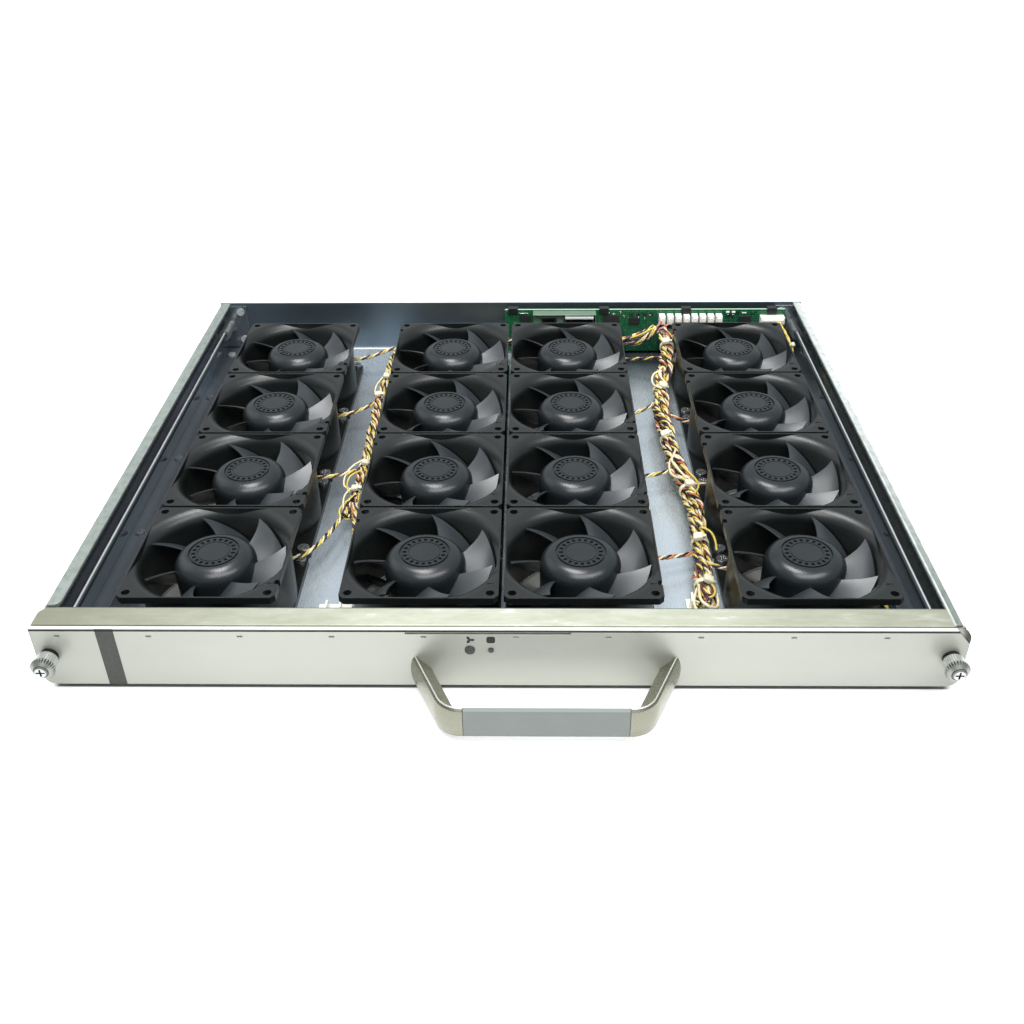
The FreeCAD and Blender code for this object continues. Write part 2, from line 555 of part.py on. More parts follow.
holes = [cyl("frame_hole_%d" % k, sx * pitch, sy * pitch, -1.0, d.flange_hole, fh + 2)
         for k, (sx, sy) in enumerate(((-1, -1), (1, -1), (1, 1), (-1, 1)))]
shell = cut("frame_open", shell, fuse("frame_cuts", [
    cyl("frame_bore", 0.0, 0.0, -1.0, d.fan_bore, fh + 2), scoop,
    box("frame_wire_notch", fs / 2 - 2.2, -fs / 2 + 11, fh - lip - 1, 3.0, 3.4, lip + 2)] + holes))
struts = []
for k in range(5):
    st = box("frame_strut_%d" % k, 0.0, 0.0, d.base_low, d.fan_bore - d.base_radius + 1.6, d.strut_wide, d.strut_high - d.base_low)
    a = math.radians(72 * k + 45)
    rad = d.base_radius.v - 1.0
    for p in "xy":
        st.setExpression("Placement.Base.%s" % p, None)
    st.Placement = FreeCAD.Placement(
        V(rad * math.cos(a) + d.strut_wide.v / 2 * math.sin(a), rad * math.sin(a) - d.strut_wide.v / 2 * math.cos(a), 0),
        FreeCAD.Rotation(V(0, 0, 1), 72 * k + 45))
    bind(st, "Placement.Base.z", d.base_low)
    struts.append(st)
frame_solid = cut("fan_frame", fuse("frame_all", [shell, cyl("frame_base", 0.0, 0.0, d.base_low, d.base_radius, d.base_high - d.base_low),
                                                 cyl("frame_tube", 0.0, 0.0, d.base_low, d.tube_outer, d.tube_top - d.base_low)] + struts),
                  cyl("frame_tube_bore", 0.0, 0.0, d.base_low + 1.5, d.tube_bore, d.tube_top))

# motor pieces of one fan
def ring_of(name, ro, ri, z, h):
    return cut(name, cyl(name + "_disc", 0.0, 0.0, z, ro, h), cyl(name + "_eye", 0.0, 0.0, num(z) - 1, ri, num(h) + 2))


bear_low = ring_of("bearing_low", d.bearing_outer, d.bearing_bore, 6.0, 3.0)
bear_high = ring_of("bearing_high", d.bearing_outer, d.bearing_bore, 22.0, 3.0)
stator = cut("stator_core", ring_of("stator_ring", d.bearing_outer * 4.866, d.tube_outer + 0.05, 11.0, 13.0),
             fuse("stator_slots", [box("stator_slot_%d" % k, -15.0 if k == 0 else -1.5, -1.5 if k == 0 else -15.0, 10.0,
                                       30.0 if k == 0 else 3.0, 3.0 if k == 0 else 30.0, 15.0) for k in (0, 1)]))
stator = fuse("stator_body", [stator, ring_of("stator_eye", d.tube_outer + 3.5, d.tube_outer + 0.05, 11.0, 13.0)])
board = ring_of("drive_board", 15.0, d.tube_outer + 0.5, d.base_high, 1.6)
yoke = cut("yoke_cup", cyl("yoke_out", 0.0, 0.0, 9.0, d.hub_bore - 0.1, d.hub_roof - 9.1),
           fuse("yoke_in", [cyl("yoke_hollow", 0.0, 0.0, 8.0, d.hub_bore - 1.3, d.hub_roof - 9.5),
                            cyl("yoke_eye", 0.0, 0.0, 8.0, d.shaft_radius, 30.0)]))
magnet = ring_of("ring_magnet", d.hub_bore - 1.4, 15.3, 11.0, 14.0)
shaft = cyl("rotor_shaft", 0.0, 0.0, d.base_low + 2.0, d.shaft_radius, d.hub_roof - 0.1 - d.base_low - 2.0)

# ------------------------------------------------------------------- fan screw
screw = fuse("fan_screw", [cyl("fan_screw_shank", 0.0, 0.0, 0.3, d.floor_hole - 0.1, th + lip - 0.3),
                           cyl("fan_screw_head", 0.0, 0.0, th + lip, 3.4, 2.2)])
screw = cut("fan_screw_cross", screw, fuse("fan_screw_slots", [
    box("fan_screw_slot_a", -2.0, -0.45, th + lip + 1.0, 4.0, 0.9, 2.0),
    box("fan_screw_slot_b", -0.45, -2.0, th + lip + 1.0, 0.9, 4.0, 2.0)]))
doc.recompute()

# -------------------------------------------------------------------- impeller
def impeller_shape():
    R, zt, zl, rd, hb, roof = d.hub_radius.v, d.hub_top.v, d.hub_low.v, d.hub_round.v, d.hub_bore.v, d.hub_roof.v
    c = math.cos(math.pi / 4)
    arc = Part.Arc(V(R, 0, zt - rd), V(R - rd + rd * c, 0, zt - rd + rd * c), V(R - rd, 0, zt))
    prof = [Part.makeLine(V(0, 0, roof), V(hb, 0, roof)), Part.makeLine(V(hb, 0, roof), V(hb, 0, zl)),
            Part.makeLine(V(hb, 0, zl), V(R, 0, zl)), Part.makeLine(V(R, 0, zl), V(R, 0, zt - rd)), arc.toShape(),
            Part.makeLine(V(R - rd, 0, zt), V(0, 0, zt)), Part.makeLine(V(0, 0, zt), V(0, 0, roof))]
    hub = Part.Face(Part.Wire(prof)).revolve(V(0, 0, 0), V(0, 0, 1), 360)
    tools = [Part.makeCylinder(13.5, 2.2, V(0, 0, zt - 1.1)).cut(Part.makeCylinder(12.4, 5, V(0, 0, zt - 3))),
             Part.makeCylinder(8.7, 1.4, V(0, 0, zt - 0.4)).cut(Part.makeCylinder(8.2, 4, V(0, 0, zt - 2)))]
    for k in range(20):
        t = Part.makeBox(2.1, 1.7, 1.9, V(9.5, -0.85, zt - 0.9))
        t.rotate(V(0, 0, 0), V(0, 0, 1), 18 * k)
        tools.append(t)
    hub = hub.cut(Part.makeCompound(tools))
    # one blade: plane sections lofted from hub to tip, then trimmed to the tip radius
    r_in, r_out = R, d.tip_radius.v

    def lead(u):
        return math.radians(-14.0 + 14.0 * u)

    def span(u):
        return math.radians(42.0 + 5.0 * u)

    def high(u):
        return 30.0 + 5.0 * u

    def low(u):
        return 10.0 - 0.8 * u

    mid = math.radians(-28.0)

    def point(x, t):
        a = 0.0
        for _ in range(40):
            r = x / math.cos(a)
            u = min(1.35, max(-0.35, (r - r_in) / (r_out - r_in)))
            f = t + 0.10 * math.sin(math.pi * t)
            a = lead(u) - span(u) * f - mid
        z = high(u) + (low(u) - high(u)) * t
        return x * math.tan(a), z

    wires = []
    steps = [0.0, 0.16, 0.34, 0.52, 0.7, 0.86, 1.0]
    for x in (16.5, 21.5, 26.5, 31.5, 36.0, 39.5):
        w = max(0.0, min(1.0, (x - 18.0) / 20.0))
        thick = 1.9 - 0.8 * w
        mids = [point(x, t) for t in steps]
        up, dn = [], []
        for i, (y, z) in enumerate(mids):
            a, c = mids[max(0, i - 1)], mids[min(len(mids) - 1, i + 1)]
            ty, tz = c[0] - a[0], c[1] - a[1]
            n = math.hypot(ty, tz)
            ny, nz = -tz / n, ty / n
            q = thick / 2 * (0.35 if i in (0, len(mids) - 1) else 1.0)
            up.append(V(x, y + ny * q, z + nz * q))
            dn.append(V(x, y - ny * q, z - nz * q))
        c1, c2 = Part.BSplineCurve(), Part.BSplineCurve()
        c1.interpolate(up)
        c2.interpolate(dn[::-1])
        wires.append(Part.Wire([c1.toShape(), Part.makeLine(up[-1], dn[-1]), c2.toShape(), Part.makeLine(dn[0], up[0])]))
    blade = Part.makeLoft(wires, True, False)
    ring = Part.makeCylinder(r_out, 40).cut(Part.makeCylinder(R - 0.8, 40))
    blade = blade.common(ring)
    blade = blade.Solids[0]
    blade.rotate(V(0, 0, 0), V(0, 0, 1), math.degrees(mid))
    blades = []
    n = int(d.blade_count.v)
    for k in range(n):
        s = blade.copy()
        s.rotate(V(0, 0, 0), V(0, 0, 1), 360.0 * k / n)
        blades.append(s)
    out = hub.fuse(blades)
    return out.Solids[0] if len(out.Solids) == 1 else out


impeller = impeller_shape()

# stored angle of each impeller, by row then column
PHASE = [[11.5, 37.2, 37.8, 22.8], [18.2, 48.4, 26.1, 20.0], [25.7, 34.8, 34.8, 16.3], [3.7, 25.5, 46.4, 48.9]]
lift = th.v
frames, statr, bears, drive, screws = [], [], [], [], []
for r in range(4):
    for c in range(4):
        x, y = COLS[c].v, ROWS[r].v
        turn = 0.0 if c in (0, 2) else 180.0
        frames.append(moved(frame_solid.Shape.Solids[0], x, y, lift, turn))
        statr.append(moved(stator.Shape.Solids[0], x, y, lift))
        bears += [moved(bear_low.Shape.Solids[0], x, y, lift), moved(bear_high.Shape.Solids[0], x, y, lift)]
        drive.append(moved(board.Shape.Solids[0], x, y, lift))
        for sx in (-1, 1):
            for sy in (-1, 1):
                screws.append(moved(screw.Shape.Solids[0], x + sx * pitch.v, y + sy * pitch.v, 0, 15.0 * ((r * 7 + c * 3 + sx + 2 * sy) % 6)))
        group("rotor_row%d_col%d" % (r + 1, c + 1), [
            moved(impeller, x, y, lift, PHASE[r][c]), moved(yoke.Shape.Solids[0], x, y, lift),
            moved(magnet.Shape.Solids[0], x, y, lift), moved(shaft.Shape.Solids[0], x, y, lift)])
group("fan_frames", frames)
group("fan_stators", statr)
group("fan_bearings", bears)
group("fan_drive_boards", drive)
group("fan_screws", screws)
group("rod_guides", [g.Shape.Solids[0] for g in guides])

# --------------------------------------------------------------- control board
b = new_body("control_board")
sk = sketch(b, "board_outline", "XZ_Plane", -(d.board_front + d.board_thick), [rect(d.board_left, d.board_low, d.board_right, d.board_top)])
pad(b, "board_pad", sk, d.board_thick)
STAND_X, STAND_Z = [6.0, 76.0, 170.0, 198.0], [7.5]
sk = sketch(b, "board_holes", "XZ_Plane", -d.board_front, circles=[(x, z, 1.7) for x in STAND_X for z in STAND_Z])
pocket(b, "board_cut", sk, d.board_thick)
bf, bb, rw = d.board_front.v, d.board_front.v + d.board_thick.v, d.rear_outer.v - th.v
stands, bolts = [], []
for x in STAND_X:
    for z in STAND_Z:
        body_ = Part.makeCylinder(3.0, rw - bb, V(x, bb, z), V(0, 1, 0)).cut(Part.makeCylinder(1.6, 6.0, V(x, bb, z), V(0, 1, 0)))
        stands.append(body_)
        bolts.append(Part.makeCylinder(1.5, 6.0, V(x, bf, z), V(0, 1, 0)).fuse(
            Part.makeCylinder(2.8, 1.8, V(x, bf - 1.8, z), V(0, 1, 0))).removeSplitter())
group("board_standoffs", stands)
group("board_screws", bolts)

heads = []
step = (163.2 - 113.7) / 8
for k in range(8):
    x0 = 113.7 + step * k + 0.8
    x1 = x0 + step - 1.6
    h = solid_box(x0, 172.4, 28.7, x1, bf, 35.3).cut(solid_box(x0 + 0.8, 171.0, 29.5, x1 - 0.8, 176.5, 34.5))
    heads.append(h)
heads.append(solid_box(191.7, 173.0, 28.6, 209.8, bf, 34.0).cut(solid_box(192.6, 171.0, 29.4, 208.9, 176.8, 33.2)))
group("lead_headers", heads)

cage = solid_box(18.1, 170.5, 26.5, 66.0, bf, 38.0).cut(solid_box(18.7, 169.0, 27.1, 65.4, 178.6, 37.4))
group("connector_cage", [cage])
group("board_connectors", [
    solid_box(24.5, 168.8, 27.6, 36.0, 178.6, 36.8).cut(solid_box(26.0, 168.0, 29.0, 34.5, 175.0, 35.4)),
    solid_box(42.0, 168.8, 27.6, 64.6, 178.6, 36.8).cut(solid_box(43.6, 168.0, 29.2, 63.0, 175.0, 35.2))])
clips = []
for x in (2.8, 72.4, 135.0, 200.4):
    clips.append(solid_box(x - 3.6, bf - 1.6, 35.6, x + 3.6, bb + 1.6, 40.0).cut(solid_box(x - 5, bf, 34, x + 5, bb, d.board_top.v)))
group("board_clips", clips)

chips = []
for x0, z0, w, h, t in ((72, 22, 12, 12, 1.6), (92, 27, 8, 5, 1.4), (80, 8.5, 6, 5, 1.4), (150, 12, 14, 10, 1.8), (128, 18, 7, 5, 1.4),
                        (176, 24, 9, 9, 1.6), (182, 12, 6, 5, 1.4), (8, 26, 8, 8, 1.6), (10, 15, 5, 4, 1.3), (100, 15, 10, 6, 1.5),
                        (92, 34, 3, 1.6, 0.8), (97, 34, 3, 1.6, 0.8), (102, 34, 3, 1.6, 0.8), (107, 34, 3, 1.6, 0.8),
                        (168, 34, 3, 1.6, 0.8), (173, 35.5, 3, 1.6, 0.8), (178, 35.5, 3, 1.6, 0.8)):
    chips.append(solid_box(x0, bf - t, z0, x0 + w, bf, z0 + h))
for x, z in ((86, 16.5), (170, 19), (118, 11)):
    chips.append(Part.makeCylinder(3.0, 7.0, V(x, bf - 7.0, z), V(0, 1, 0)))
group("board_components", chips)

plug = solid_box(d.plug_left.v, bb, d.plug_low.v, d.plug_right.v, d.plug_rear.v, d.plug_top.v)
plug = plug.cut(solid_box(d.plug_left.v + 2, 191.0, d.plug_low.v + 2, d.plug_right.v - 2, 201.0, d.plug_top.v - 2))
blade_bar = solid_box(d.plug_left.v + 5, 190.5, 14.2, d.plug_right.v - 5, 198.5, 15.8)
group("backplane_connector", [plug.fuse(blade_bar).removeSplitter()])

# --------------------------------------------------- wiring: rounded tube paths
def path(points, radius):
    pts = [V(*p) for p in points]
    edges, start = [], pts[0]
    for i in range(1, len(pts) - 1):
        a, c, e = pts[i - 1], pts[i], pts[i + 1]
        u, w = (a - c).normalize(), (e - c).normalize()
        ang = u.getAngle(w)
        if math.pi - ang < 1e-3:
            continue
        room = min((a - c).Length, (e - c).Length) * 0.49
        t = min(radius / math.tan(ang / 2), room)
        rad = t * math.tan(ang / 2)
        p1, p2 = c + u * t, c + w * t
        bis = (u + w).normalize()
        mid = c + bis * (rad / math.sin(ang / 2) - rad)
        if (p1 - start).Length > 1e-6:
            edges.append(Part.makeLine(start, p1))
        edges.append(Part.Arc(p1, mid, p2).toShape())
        start = p2
    edges.append(Part.makeLine(start, pts[-1]))
    return Part.Wire(edges)


def tube(points, bend, r):
    w = path(points, bend)
    e0 = w.OrderedEdges[0]
    circ = Part.Wire(Part.makeCircle(r, e0.valueAt(e0.FirstParameter), e0.tangentAt(e0.FirstParameter)))
    s = w.makePipeShell([circ], True, False)
    want = math.pi * r * r * w.Length
    if not s.isValid() or abs(s.Volume - want) > 0.02 * want:
        raise RuntimeError("tube volume %.1f, wanted %.1f" % (s.Volume, want))
    return s.Solids[0], w.Length


RIGHT = [(109.6, -140, 8.4), (110.3, -128, 9.1), (112.8, -93, 11.1), (114.9, -67, 12.7), (112.4, -36, 14.3), (109.4, -20, 15.1),
         (105.6, 21, 16.7), (104.7, 55, 17.5), (106.9, 90, 19.6), (113.5, 114, 21.8), (117.5, 140, 25.7), (118.5, 157, 29.5)]
LEFT = [(-94.3, -60, 11.4), (-90.9, -44.6, 13.6), (-89.5, -31.9, 15.1), (-89.2, -8, 15.7), (-88.9, 10, 16.1), (-89.5, 38, 17.2),
        (-89.6, 67, 18.8), (-87.3, 85, 21.3), (-84.2, 110, 25.5), (-84.5, 163.0, 20.0), (88.0, 163.0, 18.5), (103.0, 162.6, 21.0), (112.0, 167.0, 28.5)]
right_trunk, right_len = tube(RIGHT, 60.0, d.trunk_right.v)
left_trunk, left_len = tube(LEFT, 45.0, d.trunk_left.v)
group("right_harness", [right_trunk])
group("left_harness", [left_trunk])


def on_path(points, y):
    for a, c in zip(points, points[1:]):
        if a[1] <= y <= c[1]:
            k = (y - a[1]) / (c[1] - a[1])
            return tuple(a[j] + (c[j] - a[j]) * k for j in range(3)), V(c[0] - a[0], c[1] - a[1], c[2] - a[2]).normalize()


leads, lead_lens = [], []
lr = d.lead_radius.v
for r in range(4):
    y = ROWS[r].v
    for c in range(4):
        trunk = LEFT if c < 2 else RIGHT
        s = 1 if c in (0, 2) else -1
        ys = y + (26.0 if s > 0 else 18.0)
        x0 = COLS[c].v + s * (math.sqrt(d.fan_barrel.v ** 2 - (ys - y) ** 2) + 0.05)
        top_y = 127.0 if c >= 2 else 160.0
        low_y = -57.0 if c == 0 else (-48.0 if c == 1 else -200.0)
        join, t = on_path(trunk, max(low_y, min(ys + 10.0, top_y)))
        edge = COLS[c].v + s * d.fan_side.v / 2
        tr = d.trunk_left.v if c < 2 else d.trunk_right.v
        xm = edge + s * min(6.0, abs(join[0] - s * tr - edge) * 0.6)
        zz = 14.0 + 2.0 * (r % 2)
        join = (join[0] - s * tr * 0.55, join[1], join[2])
        sol, ln = tube([(x0, ys, zz), (xm, ys, zz), join], 8.0, lr)
        leads.append(sol)
        lead_lens.append(ln)
for k in range(8):
    x = 113.7 + step * (k + 0.5)
    up = 1.15 if k % 2 == 0 else -1.15
    if k < 2:
        line = [(110.9 + 1.4 * k, 166.5, 28.0 + up), (x, 170.0, 31.4 + up), (x, 176.2, 32.0 + up)]
    else:
        line = [(118.5 + 2.2 * (k - 4.5), 156.4 - 0.8 * (k - 4.5), 28.4 + up), (x, 166.0, 26.3 + up), (x, 171.4, 29.8 + up * 0.3), (x, 176.2, 31.4)]
    sol, ln = tube(line, 3.0, 1.1)
    leads.append(sol)
    lead_lens.append(ln)
group("fan_leads", leads)

# lead from the small header to the panel's indicators, down past the last fan and along the right side of the floor
INDICATOR = [(205.0, 176.6, 31.3), (205.0, 168.0, 31.3), (208.5, 152.0, 28.0), (212.0, 143.0, 20.0), (211.0, 135.0, 5.0), (208.0, 115.0, 4.4),
             (208.0, d.channel_web.v + 0.05, 4.4)]
ind, ind_len = tube(INDICATOR, 7.0, 1.2)
group("indicator_lead", [ind])

TIES_R = [-124.0, -88.0, -36.0, 21.0, 83.0, 140.0]
TIES_L = [-39.0, -11.0, 72.0, 94.0]
ties = []
spots = [(V(*p), t, d.trunk_right.v) for p, t in (on_path(RIGHT, y) for y in TIES_R)]
spots += [(V(*p), t, d.trunk_left.v) for p, t in (on_path(LEFT, y) for y in TIES_L)]
spots.append((V(80.0, 163.0, 18.57), V(172.5, 0, -1.5).normalize(), d.trunk_left.v))
spots.append((V(210.4, 147.1, 23.65), V(3.5, -9.0, -8.0).normalize(), 1.2))
for p, t, r in spots:
    band = Part.makeCylinder(r + 1.6, 3.0, p - t * 1.5, t).cut(Part.makeCylinder(r + 0.4, 8.0, p - t * 4.0, t))
    up = V(0, 0, 1) - t * t.z
    up.normalize()
    head = Part.makeBox(5.0, 4.6, 3.2, V(-2.5, -2.3, 0)) if r > 2 else Part.makeBox(3.0, 3.4, 2.0, V(-1.5, -1.7, 0))
    head.Placement = FreeCAD.Placement(p + up * (r + 0.8), FreeCAD.Rotation(t.cross(up) * -1, t, up, "ZYX"))
    ties.append(band.fuse(head.cut(Part.makeCylinder(r + 0.4, 8.0, p - t * 4.0, t))).removeSplitter())
group("cable_ties", ties)

mounts = []
left_eye = (V(-90.2, -139.0, 8.0), V(0, 1, 0), 3.2)
p, t = on_path(RIGHT, -134.0)
for p, t, r in ((V(*p), t, d.trunk_right.v), left_eye):
    ring = Part.makeCylinder(r + 1.2, 7.0, p - t * 3.5, t)
    base = solid_box(p.x - 9, p.y - 7, th.v, p.x + 9, p.y + 7, th.v + 1.6)
    stem = solid_box(p.x - 3.5, p.y - 3.0, th.v, p.x + 3.5, p.y + 3.0, p.z)
    over = solid_box(p.x - 20, p.y - 20, p.z + 0.25 * r, p.x + 20, p.y + 20, p.z + 30)
    under = solid_box(p.x - 20, p.y - 20, -20, p.x + 20, p.y + 20, th.v)
    mounts.append(base.fuse([ring, stem]).cut([Part.makeCylinder(r + 0.15, 30.0, p - t * 15.0, t), over, under]).removeSplitter())
group("tie_bases", mounts)

# ----------------------------------------------------------------- small parts
lenses = []
for x, r in ((d.lens_big_x.v, d.lens_big.v - 0.05), (d.lens_small_x.v, d.lens_small.v - 0.05)):
    f = d.panel_front.v
    body_ = Part.makeCylinder(r, 5.0, V(x, f - 0.5, d.lens_mid.v), V(0, 1, 0))
    lenses.append(body_)
group("indicator_lenses", lenses)

hs = []
for x in POST_X:
    for z in POST_Z:
        f = d.panel_front.v + d.panel_thick.v
        hs.append(Part.makeCylinder(1.5, d.panel_thick.v + 4.6, V(x.v, f, z), V(0, -1, 0)).fuse(
            Part.makeCylinder(2.8, 2.2, V(x.v, f, z), V(0, 1, 0))).removeSplitter())
group("handle_screws", hs)

rv = []
for s in (-1, 1):
    for y in RIVET_Y:
        x = (half.v - 7) * s
        rv.append(Part.makeCylinder(1.6, th.v * 2 - 0.1, V(x, y, 0.1)).fuse(Part.makeCylinder(2.9, 1.0, V(x, y, th.v * 2))).removeSplitter())
    for z in TAB_RIVET_Z:
        x = (d.screw_x.v - 9.5) * s
        y = d.rear_outer.v - th.v * 2
        rv.append(Part.makeCylinder(1.6, th.v * 2, V(x, y, z), V(0, 1, 0)).fuse(
            Part.makeCylinder(2.9, 1.0, V(x, y - 1.0, z), V(0, 1, 0))).removeSplitter())
group("wall_rivets", rv)

# ---------------------------------------------------------------------- output
doc.recompute()
for o in doc.Objects:
    if "Invalid" in o.State or "Error" in o.State:
        raise RuntimeError("%s: %s" % (o.Name, o.State))
os.makedirs("parts", exist_ok=True)
for old in os.listdir("parts"):
    os.remove(os.path.join("parts", old))
for name, o in NODES.items():
    s = o.Shape
    if s.isNull() or not s.isValid():
        raise RuntimeError("%s: shape not valid" % name)
    s.exportStep("parts/%s.step" % name)
    bx = s.optimalBoundingBox()
    print("%-22s solids %3d  volume %10.1f  X %.1f..%.1f  Y %.1f..%.1f  Z %.1f..%.1f" % (
        name, len(s.Solids), s.Volume, bx.XMin, bx.XMax, bx.YMin, bx.YMax, bx.ZMin, bx.ZMax))
print("nodes", len(NODES), "right trunk %.0f left trunk %.0f" % (right_len, left_len), "leads", ["%.0f" % v for v in lead_lens])
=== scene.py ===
import math
import random

import bpy
import bmesh
import numpy as np
from mathutils import Matrix, Vector


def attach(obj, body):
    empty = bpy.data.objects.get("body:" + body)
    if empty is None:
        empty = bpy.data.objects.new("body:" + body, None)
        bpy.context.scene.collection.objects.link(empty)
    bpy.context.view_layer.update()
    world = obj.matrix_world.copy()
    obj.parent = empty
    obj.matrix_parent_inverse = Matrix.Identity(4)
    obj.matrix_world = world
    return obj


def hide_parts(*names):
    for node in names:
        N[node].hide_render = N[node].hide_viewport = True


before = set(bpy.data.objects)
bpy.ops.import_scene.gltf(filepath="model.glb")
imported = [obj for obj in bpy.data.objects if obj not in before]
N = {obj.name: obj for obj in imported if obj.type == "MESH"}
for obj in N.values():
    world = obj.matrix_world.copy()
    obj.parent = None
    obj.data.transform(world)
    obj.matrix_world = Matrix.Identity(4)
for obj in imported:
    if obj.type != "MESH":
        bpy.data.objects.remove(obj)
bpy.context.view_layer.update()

MM = 0.001
scene = bpy.context.scene


# ------------------------------------------------------------------ materials
def tree(name):
    m = bpy.data.materials.new(name)
    m.use_nodes = True
    nt = m.node_tree
    nt.nodes.clear()
    out = nt.nodes.new("ShaderNodeOutputMaterial")
    sh = nt.nodes.new("ShaderNodeBsdfPrincipled")
    nt.links.new(sh.outputs["BSDF"], out.inputs["Surface"])
    return m, nt, sh


def lin(c):
    """sRGB 0-255 to linear."""
    out = []
    for v in c:
        v = v / 255.0
        out.append(v / 12.92 if v <= 0.04045 else ((v + 0.055) / 1.055) ** 2.4)
    return (*out, 1.0)


def coords(nt, stretch=(1, 1, 1), turn=(0, 0, 0)):
    tc = nt.nodes.new("ShaderNodeTexCoord")
    mp = nt.nodes.new("ShaderNodeMapping")
    mp.inputs["Scale"].default_value = stretch
    mp.inputs["Rotation"].default_value = turn
    nt.links.new(tc.outputs["Object"], mp.inputs["Vector"])
    return mp.outputs["Vector"]


def noise(nt, vec, scale, detail=4.0, rough=0.55):
    n = nt.nodes.new("ShaderNodeTexNoise")
    n.inputs["Scale"].default_value = scale
    n.inputs["Detail"].default_value = detail
    n.inputs["Roughness"].default_value = rough
    nt.links.new(vec, n.inputs["Vector"])
    return n.outputs["Fac"]


def ramp(nt, fac, stops):
    r = nt.nodes.new("ShaderNodeValToRGB")
    e = r.color_ramp.elements
    while len(e) < len(stops):
        e.new(0.5)
    for el, (p, c) in zip(e, stops):
        el.position = p
        el.color = c
    nt.links.new(fac, r.inputs["Fac"])
    return r.outputs["Color"]


def remap(nt, fac, a, b, lo, hi):
    r = nt.nodes.new("ShaderNodeMapRange")
    r.inputs["From Min"].default_value = a
    r.inputs["From Max"].default_value = b
    r.inputs["To Min"].default_value = lo
    r.inputs["To Max"].default_value = hi
    nt.links.new(fac, r.inputs["Value"])
    return r.outputs["Result"]


def maths(nt, op, a, b=None, c=None):
    m = nt.nodes.new("ShaderNodeMath")
    m.operation = op
    for i, v in enumerate((a, b, c)):
        if v is None:
            continue
        if isinstance(v, (int, float)):
            m.inputs[i].default_value = v
        else:
            nt.links.new(v, m.inputs[i])
    return m.outputs[0]


def mix(nt, fac, a, b):
    m = nt.nodes.new("ShaderNodeMix")
    m.data_type = "RGBA"
    if isinstance(fac, (int, float)):
        m.inputs[0].default_value = fac
    else:
        nt.links.new(fac, m.inputs[0])
    for k, v in ((6, a), (7, b)):
        if isinstance(v, tuple):
            m.inputs[k].default_value = v
        else:
            nt.links.new(v, m.inputs[k])
    return m.outputs[2]


def bump(nt, sh, fac, strength, dist):
    b = nt.nodes.new("ShaderNodeBump")
    b.inputs["Strength"].default_value = strength
    b.inputs["Distance"].default_value = dist
    nt.links.new(fac, b.inputs["Height"])
    nt.links.new(b.outputs["Normal"], sh.inputs["Normal"])
    return b


def soft_edge(nt, b, radius):
    """Broken edges: the shading normal is rounded over a small radius."""
    e = nt.nodes.new("ShaderNodeBevel")
    e.samples = 4
    e.inputs["Radius"].default_value = radius
    nt.links.new(e.outputs["Normal"], b.inputs["Normal"])


def scaled(c, k):
    return (min(1.0, c[0] * k), min(1.0, c[1] * k), min(1.0, c[2] * k), 1.0)


def surface(name, colour, rough, metal=0.0, vary=0.10, scale=120.0, rough_vary=0.06, grain=900.0, grain_bump=0.10,
            grain_dist=0.00005, stretch=(1, 1, 1), spec=0.5, coat=0.0, coat_rough=0.2, sheen=0.0, edge=0.0):
    """One material with uneven colour, uneven gloss and a fine grain."""
    m, nt, sh = tree(name)
    base = lin(colour)
    vec = coords(nt)
    f = noise(nt, vec, scale, 5.0)
    nt.links.new(ramp(nt, f, [(0.30, scaled(base, 1.0 - vary)), (0.55, base), (0.75, scaled(base, 1.0 + vary))]), sh.inputs["Base Color"])
    f2 = noise(nt, coords(nt, stretch), grain, 3.0)
    nt.links.new(remap(nt, f2, 0.3, 0.7, max(0.02, rough - rough_vary), min(1.0, rough + rough_vary)), sh.inputs["Roughness"])
    sh.inputs["Metallic"].default_value = metal
    sh.inputs["Specular IOR Level"].default_value = spec
    if coat:
        sh.inputs["Coat Weight"].default_value = coat
        sh.inputs["Coat Roughness"].default_value = coat_rough
    if sheen:
        sh.inputs["Sheen Weight"].default_value = sheen
    b = bump(nt, sh, f2, grain_bump, grain_dist)
    if edge:
        soft_edge(nt, b, edge)
    return m


def position(nt):
    tc = nt.nodes.new("ShaderNodeTexCoord")
    sp = nt.nodes.new("ShaderNodeSeparateXYZ")
    nt.links.new(tc.outputs["Object"], sp.inputs["Vector"])
    return sp.outputs["X"], sp.outputs["Y"], sp.outputs["Z"]


def inside(nt, value, lo, hi):
    return maths(nt, "MULTIPLY", maths(nt, "GREATER_THAN", value, lo), maths(nt, "LESS_THAN", value, hi))


M = {}
M["bright_steel"] = surface("bright_steel", (222, 222, 218), 0.20, 1.0, 0.08, 200.0, 0.07, 1500.0, 0.05, 0.00003)
M["screw_steel"] = surface("screw_steel", (190, 194, 192), 0.24, 0.85, 0.06, 300.0, 0.07, 1500.0, 0.05, 0.00003, edge=0.0004)
M["guide_steel"] = surface("guide_steel", (184, 190, 188), 0.34, 0.9, 0.08, 200.0, 0.07, 1500.0, 0.05, 0.00003)
M["cage_steel"] = surface("cage_steel", (146, 170, 150), 0.34, 0.8, 0.08, 120.0, 0.07, 1500.0, 0.05, 0.00003, edge=0.0003)
M["fan_plastic"] = surface("fan_plastic", (20, 24, 23), 0.35, 0.0, 0.16, 90.0, 0.06, 2600.0, 0.16, 0.00004, spec=0.56, edge=0.0003)
M["core_steel"] = surface("core_steel", (110, 108, 104), 0.45, 1.0, 0.10, 300.0)
M["white_plastic"] = surface("white_plastic", (240, 240, 232), 0.40, 0.0, 0.04, 150.0, 0.06, 1500.0, 0.08, 0.00004)
M["tie_nylon"] = surface("tie_nylon", (228, 222, 196), 0.40, 0.0, 0.06, 200.0, 0.06, 1500.0, 0.08, 0.00004)
